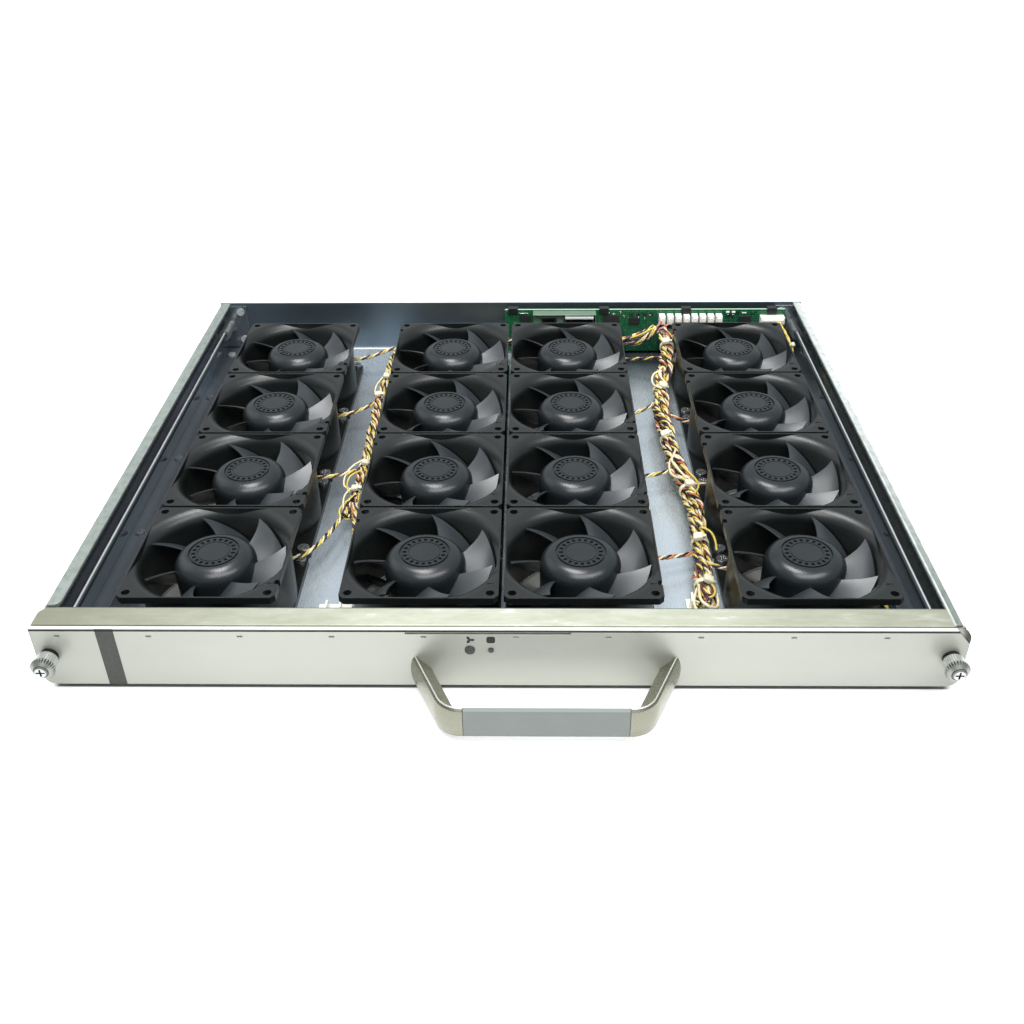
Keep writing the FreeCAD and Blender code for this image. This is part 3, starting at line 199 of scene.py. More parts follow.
M["black_plastic"] = surface("black_plastic", (28, 29, 30), 0.42, 0.0, 0.14, 150.0, 0.07, 1800.0, 0.12, 0.00004)
M["chip_black"] = surface("chip_black", (36, 36, 38), 0.52, 0.0, 0.12, 300.0, 0.07, 2400.0, 0.15, 0.00004)
for tag, rgb in (("yellow", (214, 192, 92)), ("orange", (190, 112, 74)), ("purple", (70, 46, 72)), ("black", (30, 27, 29)),
                 ("cream", (226, 214, 178)), ("pink", (196, 132, 146)), ("brown", (84, 52, 44))):
    M["wire_" + tag] = surface("wire_" + tag, rgb, 0.34, 0.0, 0.07, 260.0, 0.06, 1600.0, 0.05, 0.00003)


def zinc_material(name, mode):
    """Zinc-plated sheet. The top faces are satin, the upright faces are close to a mirror."""
    m, nt, sh = tree(name)
    x, y, z = position(nt)
    cloud = noise(nt, coords(nt, (1.0, 0.35, 1.0)), 16.0, 3.0, 0.45)
    fine = noise(nt, coords(nt, (1.0, 0.12, 1.0)), 900.0, 3.0)
    if mode == "floor":
        body = ramp(nt, cloud, [(0.30, lin((196, 208, 218))), (0.55, lin((206, 217, 225))), (0.75, lin((214, 224, 230)))])
        # the bend at the rear catches the light as one line
        bend = inside(nt, y, 0.1882, 0.1906)
        # painted shade: the aisle on the left is painted darker behind its front end, where the harness shades it
        aisle = inside(nt, x, -0.1130, -0.0785)
        dimmer = ramp(nt, remap(nt, y, -0.20, 0.20, 0.0, 1.0), [(0.22, (1, 1, 1, 1)), (0.48, (0.46, 0.46, 0.46, 1)), (0.66, (0.48, 0.48, 0.48, 1)), (0.78, (0.54, 0.54, 0.54, 1)), (0.88, (0.86, 0.86, 0.86, 1))])
        less = nt.nodes.new("ShaderNodeMix")
        less.data_type = "RGBA"
        less.blend_type = "MULTIPLY"
        nt.links.new(aisle, less.inputs[0])
        nt.links.new(body, less.inputs[6])
        nt.links.new(dimmer, less.inputs[7])
        # painted shadow of the rear wall: the aisle on the right is painted darker toward the rear
        aisle = maths(nt, "MULTIPLY", inside(nt, x, 0.0800, 0.1225), maths(nt, "GREATER_THAN", y, 0.1000))
        dimmer = ramp(nt, remap(nt, y, 0.1000, 0.1900, 0.0, 1.0), [(0.15, (1, 1, 1, 1)), (0.40, (0.66, 0.66, 0.66, 1)), (0.58, (0.32, 0.33, 0.33, 1)), (0.72, (0.14, 0.15, 0.15, 1))])
        rear = nt.nodes.new("ShaderNodeMix")
        rear.data_type = "RGBA"
        rear.blend_type = "MULTIPLY"
        nt.links.new(aisle, rear.inputs[0])
        nt.links.new(less.outputs[2], rear.inputs[6])
        nt.links.new(dimmer, rear.inputs[7])
        col = mix(nt, bend, rear.outputs[2], lin((250, 252, 255)))
        # the channels beside the fans are darker and more metallic, tinted differently on each side
        chan = maths(nt, "GREATER_THAN", maths(nt, "ABSOLUTE", maths(nt, "SUBTRACT", x, 0.0048)), 0.1966)
        tone = ramp(nt, maths(nt, "ADD", maths(nt, "MULTIPLY", x, 2.0), 0.5), [(0.1, lin((124, 122, 131))), (0.9, lin((82, 104, 112)))])
        nt.links.new(mix(nt, chan, col, tone), sh.inputs["Base Color"])
        metal = maths(nt, "MULTIPLY_ADD", bend, -0.50, 0.60)
        nt.links.new(maths(nt, "MULTIPLY_ADD", chan, 0.35, metal), sh.inputs["Metallic"])
        nt.links.new(remap(nt, fine, 0.3, 0.7, 0.24, 0.32), sh.inputs["Roughness"])
    elif mode == "side":
        rim = maths(nt, "GREATER_THAN", z, 0.03775)
        dark = ramp(nt, cloud, [(0.30, lin((128, 136, 142))), (0.55, lin((140, 148, 154))), (0.75, lin((150, 158, 164)))])
        top = ramp(nt, cloud, [(0.30, lin((146, 154, 149))), (0.55, lin((156, 164, 158))), (0.75, lin((166, 174, 168)))])
        # paler toward the rear on the right and darker at its front end; a painted highlight along the outside of the
        # right-hand bend
        fade = maths(nt, "MULTIPLY", maths(nt, "GREATER_THAN", x, 0.0), remap(nt, y, -0.17, 0.06, 0.0, 1.0))
        ahead = maths(nt, "MULTIPLY", maths(nt, "GREATER_THAN", x, 0.0), remap(nt, y, -0.17, -0.02, 0.9, 0.0))
        top = mix(nt, ahead, top, lin((134, 142, 135)))
        top = mix(nt, fade, top, lin((226, 230, 228)))
        # painted highlight along its inner edge
        top = mix(nt, inside(nt, x, 0.2150, 0.2197), top, lin((216, 222, 217)))
        top = mix(nt, maths(nt, "GREATER_THAN", x, 0.2226), top, lin((250, 251, 250)))
        foot = maths(nt, "LESS_THAN", z, 0.0030)
        dark = mix(nt, foot, dark, lin((122, 120, 129)))
        spangle = noise(nt, coords(nt, (1.0, 0.5, 1.0)), 330.0, 4.0, 0.6)
        mott = nt.nodes.new("ShaderNodeMix")
        mott.data_type = "RGBA"
        mott.blend_type = "MULTIPLY"
        mott.inputs[0].default_value = 1.0
        nt.links.new(top, mott.inputs[6])
        nt.links.new(ramp(nt, spangle, [(0.35, (0.72, 0.74, 0.72, 1)), (0.55, (0.98, 0.98, 0.98, 1)), (0.70, (1, 1, 1, 1))]), mott.inputs[7])
        nt.links.new(mix(nt, rim, dark, mott.outputs[2]), sh.inputs["Base Color"])
        nt.links.new(maths(nt, "MULTIPLY_ADD", rim, -0.42, 0.82), sh.inputs["Metallic"])
        nt.links.new(maths(nt, "MULTIPLY_ADD", rim, 0.16, remap(nt, fine, 0.3, 0.7, 0.13, 0.19)), sh.inputs["Roughness"])
    else:
        body = ramp(nt, cloud, [(0.30, lin((112, 126, 136))), (0.55, lin((128, 142, 152))), (0.75, lin((142, 154, 160)))])
        nt.links.new(body, sh.inputs["Base Color"])
        sh.inputs["Metallic"].default_value = 0.92
        nt.links.new(remap(nt, fine, 0.3, 0.7, 0.30, 0.36), sh.inputs["Roughness"])
    b = bump(nt, sh, fine, 0.008 if mode == "rear" else 0.03, 0.00002)
    if mode == "side":
        soft_edge(nt, b, 0.0005)
    return m


M["zinc_sheet"] = zinc_material("zinc_sheet", "floor")
M["zinc_wall"] = zinc_material("zinc_wall", "side")
M["zinc_rear"] = zinc_material("zinc_rear", "rear")
M["zinc_channel"] = surface("zinc_channel", (132, 138, 136), 0.30, 0.8, 0.07, 30.0, 0.05, 700.0, 0.06, 0.00004, (0.06, 1.0, 1.0))


def post_material():
    """Satin-plated handle leg: a painted highlight along the upper ridge, and painted light on the inner slopes, which
    are coloured paler.
    """
    m, nt, sh = tree("satin_nickel")
    x, y, z = position(nt)
    base = lin((132, 132, 118))
    f = noise(nt, coords(nt), 60.0, 5.0)
    body = ramp(nt, f, [(0.30, scaled(base, 0.95)), (0.55, base), (0.75, scaled(base, 1.05))])
    tc = nt.nodes.new("ShaderNodeTexCoord")
    sp = nt.nodes.new("ShaderNodeSeparateXYZ")
    nt.links.new(tc.outputs["Normal"], sp.inputs["Vector"])
    # painted light: the inner slopes are coloured paler, and the upper ridge gets a painted highlight with less metal
    inner = maths(nt, "GREATER_THAN", sp.outputs["Y"], 0.03)
    ridge = maths(nt, "MULTIPLY", maths(nt, "GREATER_THAN", z, 0.02212), maths(nt, "SUBTRACT", 1.0, inner))
    col = mix(nt, inner, body, lin((150, 149, 132)))
    nt.links.new(mix(nt, ridge, col, lin((214, 216, 206))), sh.inputs["Base Color"])
    g = noise(nt, coords(nt), 1600.0, 3.0)
    nt.links.new(remap(nt, g, 0.3, 0.7, 0.24, 0.34), sh.inputs["Roughness"])
    nt.links.new(maths(nt, "MULTIPLY_ADD", ridge, -0.35, 0.85), sh.inputs["Metallic"])
    soft_edge(nt, bump(nt, sh, g, 0.08, 0.00003), 0.0004)
    return m


def grip_material():
    m, nt, sh = tree("grip_plastic")
    x, y, z = position(nt)
    base = lin((114, 120, 116))
    f = noise(nt, coords(nt), 70.0, 5.0)
    body = ramp(nt, f, [(0.30, scaled(base, 0.96)), (0.55, base), (0.75, scaled(base, 1.04))])
    # parting line at each end of the sleeve
    off = maths(nt, "ABSOLUTE", maths(nt, "SUBTRACT", x, 0.0234))
    seam = maths(nt, "GREATER_THAN", off, 0.0389 - 0.00035)
    # painted highlight along the upper ridge, a little darker low down
    low = remap(nt, z, 0.0045, 0.0200, 0.30, 0.0)
    body = mix(nt, low, body, lin((84, 90, 86)))
    body = mix(nt, maths(nt, "GREATER_THAN", z, 0.0213), body, lin((128, 134, 131)))
    nt.links.new(mix(nt, seam, body, lin((44, 46, 42))), sh.inputs["Base Color"])
    g = noise(nt, coords(nt), 2200.0, 3.0)
    nt.links.new(remap(nt, g, 0.3, 0.7, 0.40, 0.50), sh.inputs["Roughness"])
    soft_edge(nt, bump(nt, sh, g, 0.12, 0.00004), 0.0006)
    return m


def knob_material():
    m, nt, sh = tree("knob_steel")
    x, y, z = position(nt)
    base = lin((206, 210, 202))
    f = noise(nt, coords(nt), 260.0, 4.0)
    body = ramp(nt, f, [(0.30, scaled(base, 0.90)), (0.55, base), (0.75, scaled(base, 1.05))])
    # painted shade: the collar next to the panel and the step behind the front ring are painted dark
    collar = maths(nt, "GREATER_THAN", y, -0.19785)
    step = inside(nt, y, -0.20375, -0.20345)
    dark = maths(nt, "MAXIMUM", collar, step)
    # shadow line round the screw's head
    dx = maths(nt, "SUBTRACT", maths(nt, "ABSOLUTE", x), 0.2192)
    dz = maths(nt, "SUBTRACT", z, 0.0226)
    r = maths(nt, "SQRT", maths(nt, "ADD", maths(nt, "MULTIPLY", dx, dx), maths(nt, "MULTIPLY", dz, dz)))
    cone = maths(nt, "LESS_THAN", y, -0.20540)
    body = mix(nt, cone, body, lin((138, 141, 134)))
    ring = maths(nt, "MULTIPLY", inside(nt, y, -0.20540, -0.20370), maths(nt, "LESS_THAN", r, 0.00590))
    flute = maths(nt, "MULTIPLY", maths(nt, "GREATER_THAN", y, -0.20350), maths(nt, "LESS_THAN", r, 0.00496))
    body = mix(nt, maths(nt, "MULTIPLY", maths(nt, "MAXIMUM", ring, flute), 0.60), body, lin((84, 86, 80)))
    seat = maths(nt, "MULTIPLY", maths(nt, "LESS_THAN", y, -0.20700), maths(nt, "LESS_THAN", r, 0.00372))
    dark = maths(nt, "MAXIMUM", dark, seat)
    nt.links.new(mix(nt, dark, body, lin((46, 46, 42))), sh.inputs["Base Color"])
    g = noise(nt, coords(nt), 1800.0, 3.0)
    nt.links.new(remap(nt, g, 0.3, 0.7, 0.26, 0.38), sh.inputs["Roughness"])
    sh.inputs["Metallic"].default_value = 0.72
    bump(nt, sh, g, 0.08, 0.00003)
    return m


def rod_material():
    """Polished rod, painted dark as a reflection of its dark surroundings, with a painted highlight line along its top;
    the cross recess in its head is painted dark as shade.
    """
    m, nt, sh = tree("rod_steel")
    x, y, z = position(nt)
    # painted highlight: the world-space normal picks out a bright line along the top, a little outward; elsewhere a
    # painted dark reflection
    sep = nt.nodes.new("ShaderNodeSeparateXYZ")
    nt.links.new(nt.nodes.new("ShaderNodeNewGeometry").outputs["Normal"], sep.inputs[0])
    outward = maths(nt, "MULTIPLY", sep.outputs[0], maths(nt, "SIGN", x))
    outward = maths(nt, "MULTIPLY_ADD", maths(nt, "LESS_THAN", x, 0.0), 0.16, outward)
    line = ramp(nt, remap(nt, outward, -1.0, 1.0, 0.0, 1.0), [(0.36, (0, 0, 0, 1)), (0.45, (1, 1, 1, 1)), (0.62, (1, 1, 1, 1)), (0.74, (0, 0, 0, 1))])
    line = maths(nt, "MULTIPLY", line, maths(nt, "GREATER_THAN", sep.outputs[2], 0.0))
    base = lin((240, 242, 240))
    f = noise(nt, coords(nt, (1.0, 0.05, 1.0)), 160.0, 4.0)
    body = ramp(nt, f, [(0.30, scaled(base, 0.94)), (0.55, base), (0.75, scaled(base, 1.05))])
    body = mix(nt, line, lin((86, 94, 102)), body)
    dx = maths(nt, "SUBTRACT", maths(nt, "ABSOLUTE", x), 0.2192)
    dz = maths(nt, "SUBTRACT", z, 0.0226)
    r = maths(nt, "SQRT", maths(nt, "ADD", maths(nt, "MULTIPLY", dx, dx), maths(nt, "MULTIPLY", dz, dz)))
    cross = maths(nt, "MULTIPLY", inside(nt, y, -0.20842, -0.2070), maths(nt, "LESS_THAN", r, 0.0026))
    head = maths(nt, "LESS_THAN", y, -0.2070)
    body = mix(nt, head, body, lin((206, 209, 205)))
    rim = maths(nt, "MULTIPLY", head, maths(nt, "GREATER_THAN", r, 0.00262))
    body = mix(nt, rim, body, lin((112, 114, 110)))
    nt.links.new(mix(nt, cross, body, lin((62, 64, 60))), sh.inputs["Base Color"])
    nt.links.new(remap(nt, f, 0.3, 0.7, 0.15, 0.21), sh.inputs["Roughness"])
    nt.links.new(maths(nt, "MULTIPLY_ADD", maths(nt, "MAXIMUM", line, head), -0.55, 0.8), sh.inputs["Metallic"])
    return m


def tab_material():
    """Dark corner piece with painted shade: paler where it curves up to the panel's edge, painted darker toward its
    outer end.
    """
    m, nt, sh = tree("dark_rubber")
    x, y, z = position(nt)
    f = noise(nt, coords(nt), 260.0, 4.0)
    a = maths(nt, "ADD", remap(nt, x, 0.2200, 0.2262, 0.0, 1.0), maths(nt, "MULTIPLY_ADD", f, 0.3, -0.15))
    nt.links.new(ramp(nt, a, [(0.15, lin((152, 152, 142))), (0.45, lin((92, 92, 84))), (0.70, lin((50, 50, 44)))]), sh.inputs["Base Color"])
    nt.links.new(remap(nt, f, 0.3, 0.7, 0.42, 0.56), sh.inputs["Roughness"])
    sh.inputs["Metallic"].default_value = 0.3
    soft_edge(nt, bump(nt, sh, f, 0.08, 0.00004), 0.0006)
    return m


def rivet_material():
    """Rivets: darker along the side channels, with a painted highlight on those in the rear corners."""
    m, nt, sh = tree("rivet_zinc")
    x, y, z = position(nt)
    f = noise(nt, coords(nt), 300.0, 4.0)
    dimmer = ramp(nt, f, [(0.30, lin((116, 119, 126))), (0.70, lin((130, 133, 140)))])
    nt.links.new(mix(nt, maths(nt, "GREATER_THAN", y, 0.1300), dimmer, lin((216, 220, 218))), sh.inputs["Base Color"])
    nt.links.new(remap(nt, f, 0.3, 0.7, 0.24, 0.34), sh.inputs["Roughness"])
    sh.inputs["Metallic"].default_value = 0.6
    bump(nt, sh, f, 0.05, 0.00003)
    return m


def rotor_material(name, cx, cy):
    """Moulded rotor: the blades are painted paler than the hub, as painted light, and are glossier."""
    m, nt, sh = tree(name)
    x, y, z = position(nt)
    dx, dy = maths(nt, "SUBTRACT", x, cx), maths(nt, "SUBTRACT", y, cy)
    r = maths(nt, "SQRT", maths(nt, "ADD", maths(nt, "MULTIPLY", dx, dx), maths(nt, "MULTIPLY", dy, dy)))
    blade = maths(nt, "GREATER_THAN", r, 0.0216)
    f = noise(nt, coords(nt), 90.0, 5.0)
    hub = ramp(nt, f, [(0.30, lin((25, 30, 32))), (0.55, lin((28, 33, 35))), (0.75, lin((31, 36, 38)))])
    fin = ramp(nt, f, [(0.30, lin((44, 49, 52))), (0.55, lin((48, 53, 56))), (0.75, lin((52, 57, 60)))])
    nt.links.new(mix(nt, blade, hub, fin), sh.inputs["Base Color"])
    g = noise(nt, coords(nt), 2600.0, 3.0)
    nt.links.new(maths(nt, "MULTIPLY_ADD", blade, 0.08, remap(nt, g, 0.3, 0.7, 0.24, 0.32)), sh.inputs["Roughness"])
    nt.links.new(maths(nt, "MULTIPLY_ADD", blade, 0.16, 0.52), sh.inputs["Specular IOR Level"])
    bump(nt, sh, g, 0.12, 0.00003)
    return m


M["rivet_zinc"] = rivet_material()
for r in range(4):
    for c in range(4):
        M["rotor_%d%d" % (r + 1, c + 1)] = rotor_material("rotor_plastic_%d%d" % (r + 1, c + 1), (-0.1516, -0.0399, 0.0426, 0.1611)[c], -0.1316 + 0.0817 * r)
M["rod_steel"] = rod_material()
M["dark_rubber"] = tab_material()
M["grip_plastic"] = grip_material()
M["satin_nickel"] = post_material()
M["knob_steel"] = knob_material()


def panel_material():
    m, nt, sh = tree("panel_metal")
    base = lin((168, 170, 161))
    x, y, z = position(nt)
    f = noise(nt, coords(nt, (0.25, 1, 1)), 60.0, 5.0)
    body = ramp(nt, f, [(0.3, scaled(base, 0.975)), (0.55, base), (0.75, scaled(base, 1.025))])
    # painted shade: the face is painted darker toward both ends
    ends = remap(nt, maths(nt, "ABSOLUTE", x), 0.12, 0.23, 0.0, 0.32)
    body = mix(nt, ends, body, lin((120, 122, 114)))
    front = maths(nt, "LESS_THAN", y, -0.1954)
    # plain dark band near the left end, printed on the face
    band = maths(nt, "MULTIPLY", inside(nt, x, -0.1939, -0.1849), front)
    speck = noise(nt, coords(nt), 700.0, 3.0)
    dark = ramp(nt, speck, [(0.3, lin((42, 45, 40))), (0.7, lin((56, 59, 53)))])
    col = mix(nt, band, body, dark)
    # two plain printed symbols over the indicators: three lobes, and a filled square
    dx, dz = maths(nt, "SUBTRACT", x, -0.0133), maths(nt, "SUBTRACT", z, 0.0332)
    r = maths(nt, "SQRT", maths(nt, "ADD", maths(nt, "MULTIPLY", dx, dx), maths(nt, "MULTIPLY", dz, dz)))
    a = maths(nt, "ARCTAN2", dz, dx)
    lobe = maths(nt, "MULTIPLY_ADD", maths(nt, "COSINE", maths(nt, "MULTIPLY", a, 3.0)), 0.0009, 0.0015)
    fan = maths(nt, "MULTIPLY", maths(nt, "LESS_THAN", r, lobe), front)
    qx, qz = maths(nt, "ABSOLUTE", maths(nt, "SUBTRACT", x, -0.0031)), maths(nt, "ABSOLUTE", maths(nt, "SUBTRACT", z, 0.0332))
    q = maths(nt, "ADD", maths(nt, "POWER", maths(nt, "DIVIDE", qx, 0.0021), 4.0), maths(nt, "POWER", maths(nt, "DIVIDE", qz, 0.0021), 4.0))
    square = maths(nt, "MULTIPLY", maths(nt, "LESS_THAN", q, 1.0), front)
    mark = maths(nt, "MAXIMUM", fan, square)
    col = mix(nt, mark, col, lin((40, 42, 40)))
    # painted shadow line in the groove under the rolled edge, and a painted highlight round the rolled rim
    groove = maths(nt, "MULTIPLY", inside(nt, z, 0.03800, 0.03905), maths(nt, "LESS_THAN", y, -0.1950))
    col = mix(nt, maths(nt, "MULTIPLY", groove, 0.95), col, lin((38, 40, 36)))
    roll = maths(nt, "GREATER_THAN", z, 0.03935)
    col = mix(nt, maths(nt, "MULTIPLY", roll, 0.85), col, lin((238, 240, 234)))
    nt.links.new(col, sh.inputs["Base Color"])
    g = noise(nt, coords(nt), 1900.0, 3.0)
    nt.links.new(remap(nt, g, 0.3, 0.7, 0.32, 0.44), sh.inputs["Roughness"])
    sh.inputs["Metallic"].default_value = 0.35
    soft_edge(nt, bump(nt, sh, g, 0.08, 0.00003), 0.0005)
    return m


def gasket_material():
    m, nt, sh = tree("gasket_fabric")
    vec = coords(nt)
    x, y, z = position(nt)
    weave = maths(nt, "MULTIPLY", maths(nt, "SINE", maths(nt, "MULTIPLY", x, 5200.0)), maths(nt, "SINE", maths(nt, "MULTIPLY", y, 5200.0)))
    f = noise(nt, coords(nt, (0.5, 1.8, 1)), 90.0, 6.0, 0.70)
    body = ramp(nt, f, [(0.25, lin((158, 161, 142))), (0.48, lin((174, 177, 160))), (0.60, lin((182, 185, 170))), (0.70, lin((210, 213, 200)))])
    # darker toward both ends
    darker_ends = maths(nt, "MAXIMUM", remap(nt, x, -0.05, -0.22, 0.0, 0.75), remap(nt, x, 0.08, 0.22, 0.0, 0.55))
    nt.links.new(mix(nt, darker_ends, body, lin((108, 108, 90))), sh.inputs["Base Color"])
    f2 = noise(nt, vec, 900.0, 4.0)
    nt.links.new(remap(nt, f2, 0.3, 0.7, 0.45, 0.62), sh.inputs["Roughness"])
    sh.inputs["Metallic"].default_value = 0.25
    bump(nt, sh, maths(nt, "ADD", maths(nt, "MULTIPLY", weave, 0.5), f2), 0.22, 0.00006)
    return m


def board_material():
    m, nt, sh = tree("board_green")
    x, y, z = position(nt)
    vec = coords(nt)
    # copper tracks show through the mask as lighter lines along X and Z
    br = nt.nodes.new("ShaderNodeTexBrick")
    br.offset = 0.37
    br.squash = 0.7
    sw = nt.nodes.new("ShaderNodeCombineXYZ")
    nt.links.new(x, sw.inputs["X"])
    nt.links.new(z, sw.inputs["Y"])
    nt.links.new(sw.outputs["Vector"], br.inputs["Vector"])
    br.inputs["Scale"].default_value = 150.0
    br.inputs["Mortar Size"].default_value = 0.028
    br.inputs["Color1"].default_value = lin((15, 74, 46))
    br.inputs["Color2"].default_value = lin((18, 84, 52))
    br.inputs["Mortar"].default_value = lin((38, 112, 74))
    vo = nt.nodes.new("ShaderNodeTexVoronoi")
    vo.inputs["Scale"].default_value = 330.0
    nt.links.new(sw.outputs["Vector"], vo.inputs["Vector"])
    via = maths(nt, "LESS_THAN", vo.outputs["Distance"], 0.12)
    face = mix(nt, via, br.outputs["Color"], lin((120, 160, 130)))
    # the bare cut edge of the board is paler
    edge = maths(nt, "GREATER_THAN", z, 0.03844)
    nt.links.new(mix(nt, edge, face, lin((176, 208, 180))), sh.inputs["Base Color"])
    f = noise(nt, vec, 500.0, 3.0)
    nt.links.new(remap(nt, f, 0.3, 0.7, 0.22, 0.36), sh.inputs["Roughness"])
    bump(nt, sh, f, 0.10, 0.00004)
    return m


def lens_material():
    m, nt, sh = tree("lens_plastic")
    vec = coords(nt)
    f = noise(nt, vec, 900.0, 3.0)
    nt.links.new(ramp(nt, f, [(0.3, lin((24, 27, 26))), (0.7, lin((46, 50, 47)))]), sh.inputs["Base Color"])
    nt.links.new(remap(nt, f, 0.3, 0.7, 0.12, 0.22), sh.inputs["Roughness"])
    sh.inputs["Coat Weight"].default_value = 0.6
    return m


def connector_material():
    m, nt, sh = tree("connector_black")
    x, y, z = position(nt)
    f = noise(nt, coords(nt), 300.0, 4.0)
    body = ramp(nt, f, [(0.3, lin((22, 26, 25))), (0.7, lin((36, 40, 38)))])
    # plated lip along the top of the wide connector's mouth
    lip = maths(nt, "MULTIPLY", maths(nt, "MULTIPLY", inside(nt, x, 0.0425, 0.0640), maths(nt, "GREATER_THAN", z, 0.0353)), maths(nt, "LESS_THAN", y, 0.1700))
    nt.links.new(mix(nt, lip, body, lin((214, 220, 214))), sh.inputs["Base Color"])
    nt.links.new(remap(nt, f, 0.3, 0.7, 0.34, 0.46), sh.inputs["Roughness"])
    bump(nt, sh, f, 0.08, 0.00003)
    return m


M["connector_black"] = connector_material()
M["panel_metal"] = panel_material()
M["gasket_fabric"] = gasket_material()
M["board_green"] = board_material()
M["lens_plastic"] = lens_material()

WEAR = {
    "tray_floor": "zinc_sheet", "left_side_wall": "zinc_wall", "right_side_wall": "zinc_wall", "rear_wall": "zinc_rear",
    "front_channel": "zinc_channel", "front_panel": "panel_metal", "emi_gasket": "gasket_fabric", "corner_tab": "dark_rubber",
    "handle_left_post": "satin_nickel", "handle_right_post": "satin_nickel", "handle_grip": "grip_plastic",
    "handle_screws": "bright_steel", "rod_guides": "guide_steel", "fan_frames": "fan_plastic", "fan_stators": "core_steel",
    "fan_bearings": "bright_steel", "fan_drive_boards": "board_green", "fan_screws": "screw_steel",
    "control_board": "board_green", "board_standoffs": "bright_steel", "board_screws": "bright_steel",
    "lead_headers": "white_plastic", "connector_cage": "cage_steel", "board_connectors": "connector_black",
    "board_clips": "black_plastic", "board_components": "chip_black", "backplane_connector": "black_plastic",
    "tie_bases": "white_plastic", "indicator_lenses": "lens_plastic", "wall_rivets": "rivet_zinc",
    "left_rod": "rod_steel", "right_rod": "rod_steel", "left_knob": "knob_steel", "right_knob": "knob_steel",
    "left_clip": "bright_steel", "right_clip": "bright_steel",
    "right_harness": "wire_black", "left_harness": "wire_black", "fan_leads": "wire_black", "indicator_lead": "wire_yellow",
    "cable_ties": "tie_nylon",
}
for n, o in N.items():
    m = M[WEAR[n] if n in WEAR else "rotor_%s%s" % (n[9], n[14])]
    o.data.materials.clear()
    o.data.materials.append(m)
    for s in o.material_slots:
        s.material = m


# ---------------------------------------------------------------- piece makers
def piece(name, verts, faces, mats, index=None, smooth=True, body="tray"):
    me = bpy.data.meshes.new(name)
    me.from_pydata([tuple(v) for v in verts], [], faces)
    for m in mats:
        me.materials.append(M[m])
    if index is not None:
        me.polygons.foreach_set("material_index", np.array(index, np.int32))
    me.polygons.foreach_set("use_smooth", np.full(len(me.polygons), smooth))
    me.update()
    o = bpy.data.objects.new(name, me)
    scene.collection.objects.link(o)
    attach(o, body)
    return o


class Mesh:
    def __init__(self):
        self.v, self.f, self.m = [], [], []

    def add(self, verts, faces, mat=0):
        k = len(self.v)
        self.v += [tuple(p) for p in verts]
        self.f += [tuple(k + i for i in f) for f in faces]
        self.m += [mat] * len(faces)

    def tube(self, pts, radii, mat=0, sides=8):
        """A closed round tube along pts, with a rounded nose at each end."""
        pts = np.asarray(pts, float)
        n = len(pts)
        t = np.gradient(pts, axis=0)
        t /= np.linalg.norm(t, axis=1)[:, None]
        u = np.cross(t[0], (0.0, 0.0, 1.0))
        if np.linalg.norm(u) < 1e-3:
            u = np.cross(t[0], (1.0, 0.0, 0.0))
        u /= np.linalg.norm(u)
        ring = []
        a = np.arange(sides) * 2 * math.pi / sides
        radii = np.broadcast_to(np.asarray(radii, float), (n,))
        for i in range(n):
            u = u - t[i] * np.dot(u, t[i])
            u /= np.linalg.norm(u)
            w = np.cross(t[i], u)
            ring.append(pts[i] + radii[i] * (np.cos(a)[:, None] * u + np.sin(a)[:, None] * w))
        v = [p for r in ring for p in r]
        f = []
        for i in range(n - 1):
            for j in range(sides):
                k = (j + 1) % sides
                f.append((i * sides + j, i * sides + k, (i + 1) * sides + k, (i + 1) * sides + j))
        v += [pts[0] - t[0] * radii[0] * 0.5, pts[-1] + t[-1] * radii[-1] * 0.5]
        for j in range(sides):
            k = (j + 1) % sides
            f.append((len(v) - 2, k, j))
            f.append((len(v) - 1, (n - 1) * sides + j, (n - 1) * sides + k))
        self.add(v, f, mat)

    def block(self, centre, size, axes=None, mat=0, bevel=0.2, segments=2):
        """A block with rounded edges; axes are its three directions."""
        bm = bmesh.new()
        bmesh.ops.create_cube(bm, size=1.0)
        bmesh.ops.scale(bm, vec=Vector(size), verts=bm.verts)
        if bevel:
            bmesh.ops.bevel(bm, geom=list(bm.edges), offset=min(bevel, min(size) * 0.45), segments=segments, profile=0.5, affect="EDGES")
        ax = [Vector(a) for a in (axes or ((1, 0, 0), (0, 1, 0), (0, 0, 1)))]
        c = Vector(centre)
        bm.verts.ensure_lookup_table()
        vs = [c + ax[0] * v.co.x + ax[1] * v.co.y + ax[2] * v.co.z for v in bm.verts]
        fs = [[v.index for v in f.verts] for f in bm.faces]
        bm.free()
        self.add(vs, fs, mat)

    def done(self, name, mats, smooth=True, body="tray"):
        return piece(name, self.v, self.f, mats, self.m, smooth, body)


def route(points, res=40):
    """Points along the smooth spline whose control points are given, in metres."""
    cu = bpy.data.curves.new("route", "CURVE")
    cu.dimensions = "3D"
    sp = cu.splines.new("NURBS")
    sp.points.add(len(points) - 1)
    for q, p in zip(sp.points, points):
        q.co = (p[0] * MM, p[1] * MM, p[2] * MM, 1.0)
    sp.order_u = 3
    sp.use_endpoint_u = True
    sp.resolution_u = res
    o = bpy.data.objects.new("route", cu)
    scene.collection.objects.link(o)
    bpy.context.view_layer.update()
    me = bpy.data.meshes.new_from_object(o)
    pts = np.array([v.co for v in me.vertices], float)
    bpy.data.objects.remove(o)
    bpy.data.meshes.remove(me)
    bpy.data.curves.remove(cu)
    return pts


def even(pts, step):
    """The same line with evenly spaced points; also the distance along it."""
    seg = np.linalg.norm(np.diff(pts, axis=0), axis=1)
    s = np.concatenate([[0], np.cumsum(seg)])
    n = max(4, int(round(s[-1] / step)) + 1)
    at = np.linspace(0, s[-1], n)
    return np.stack([np.interp(at, s, pts[:, k]) for k in range(3)], 1), at


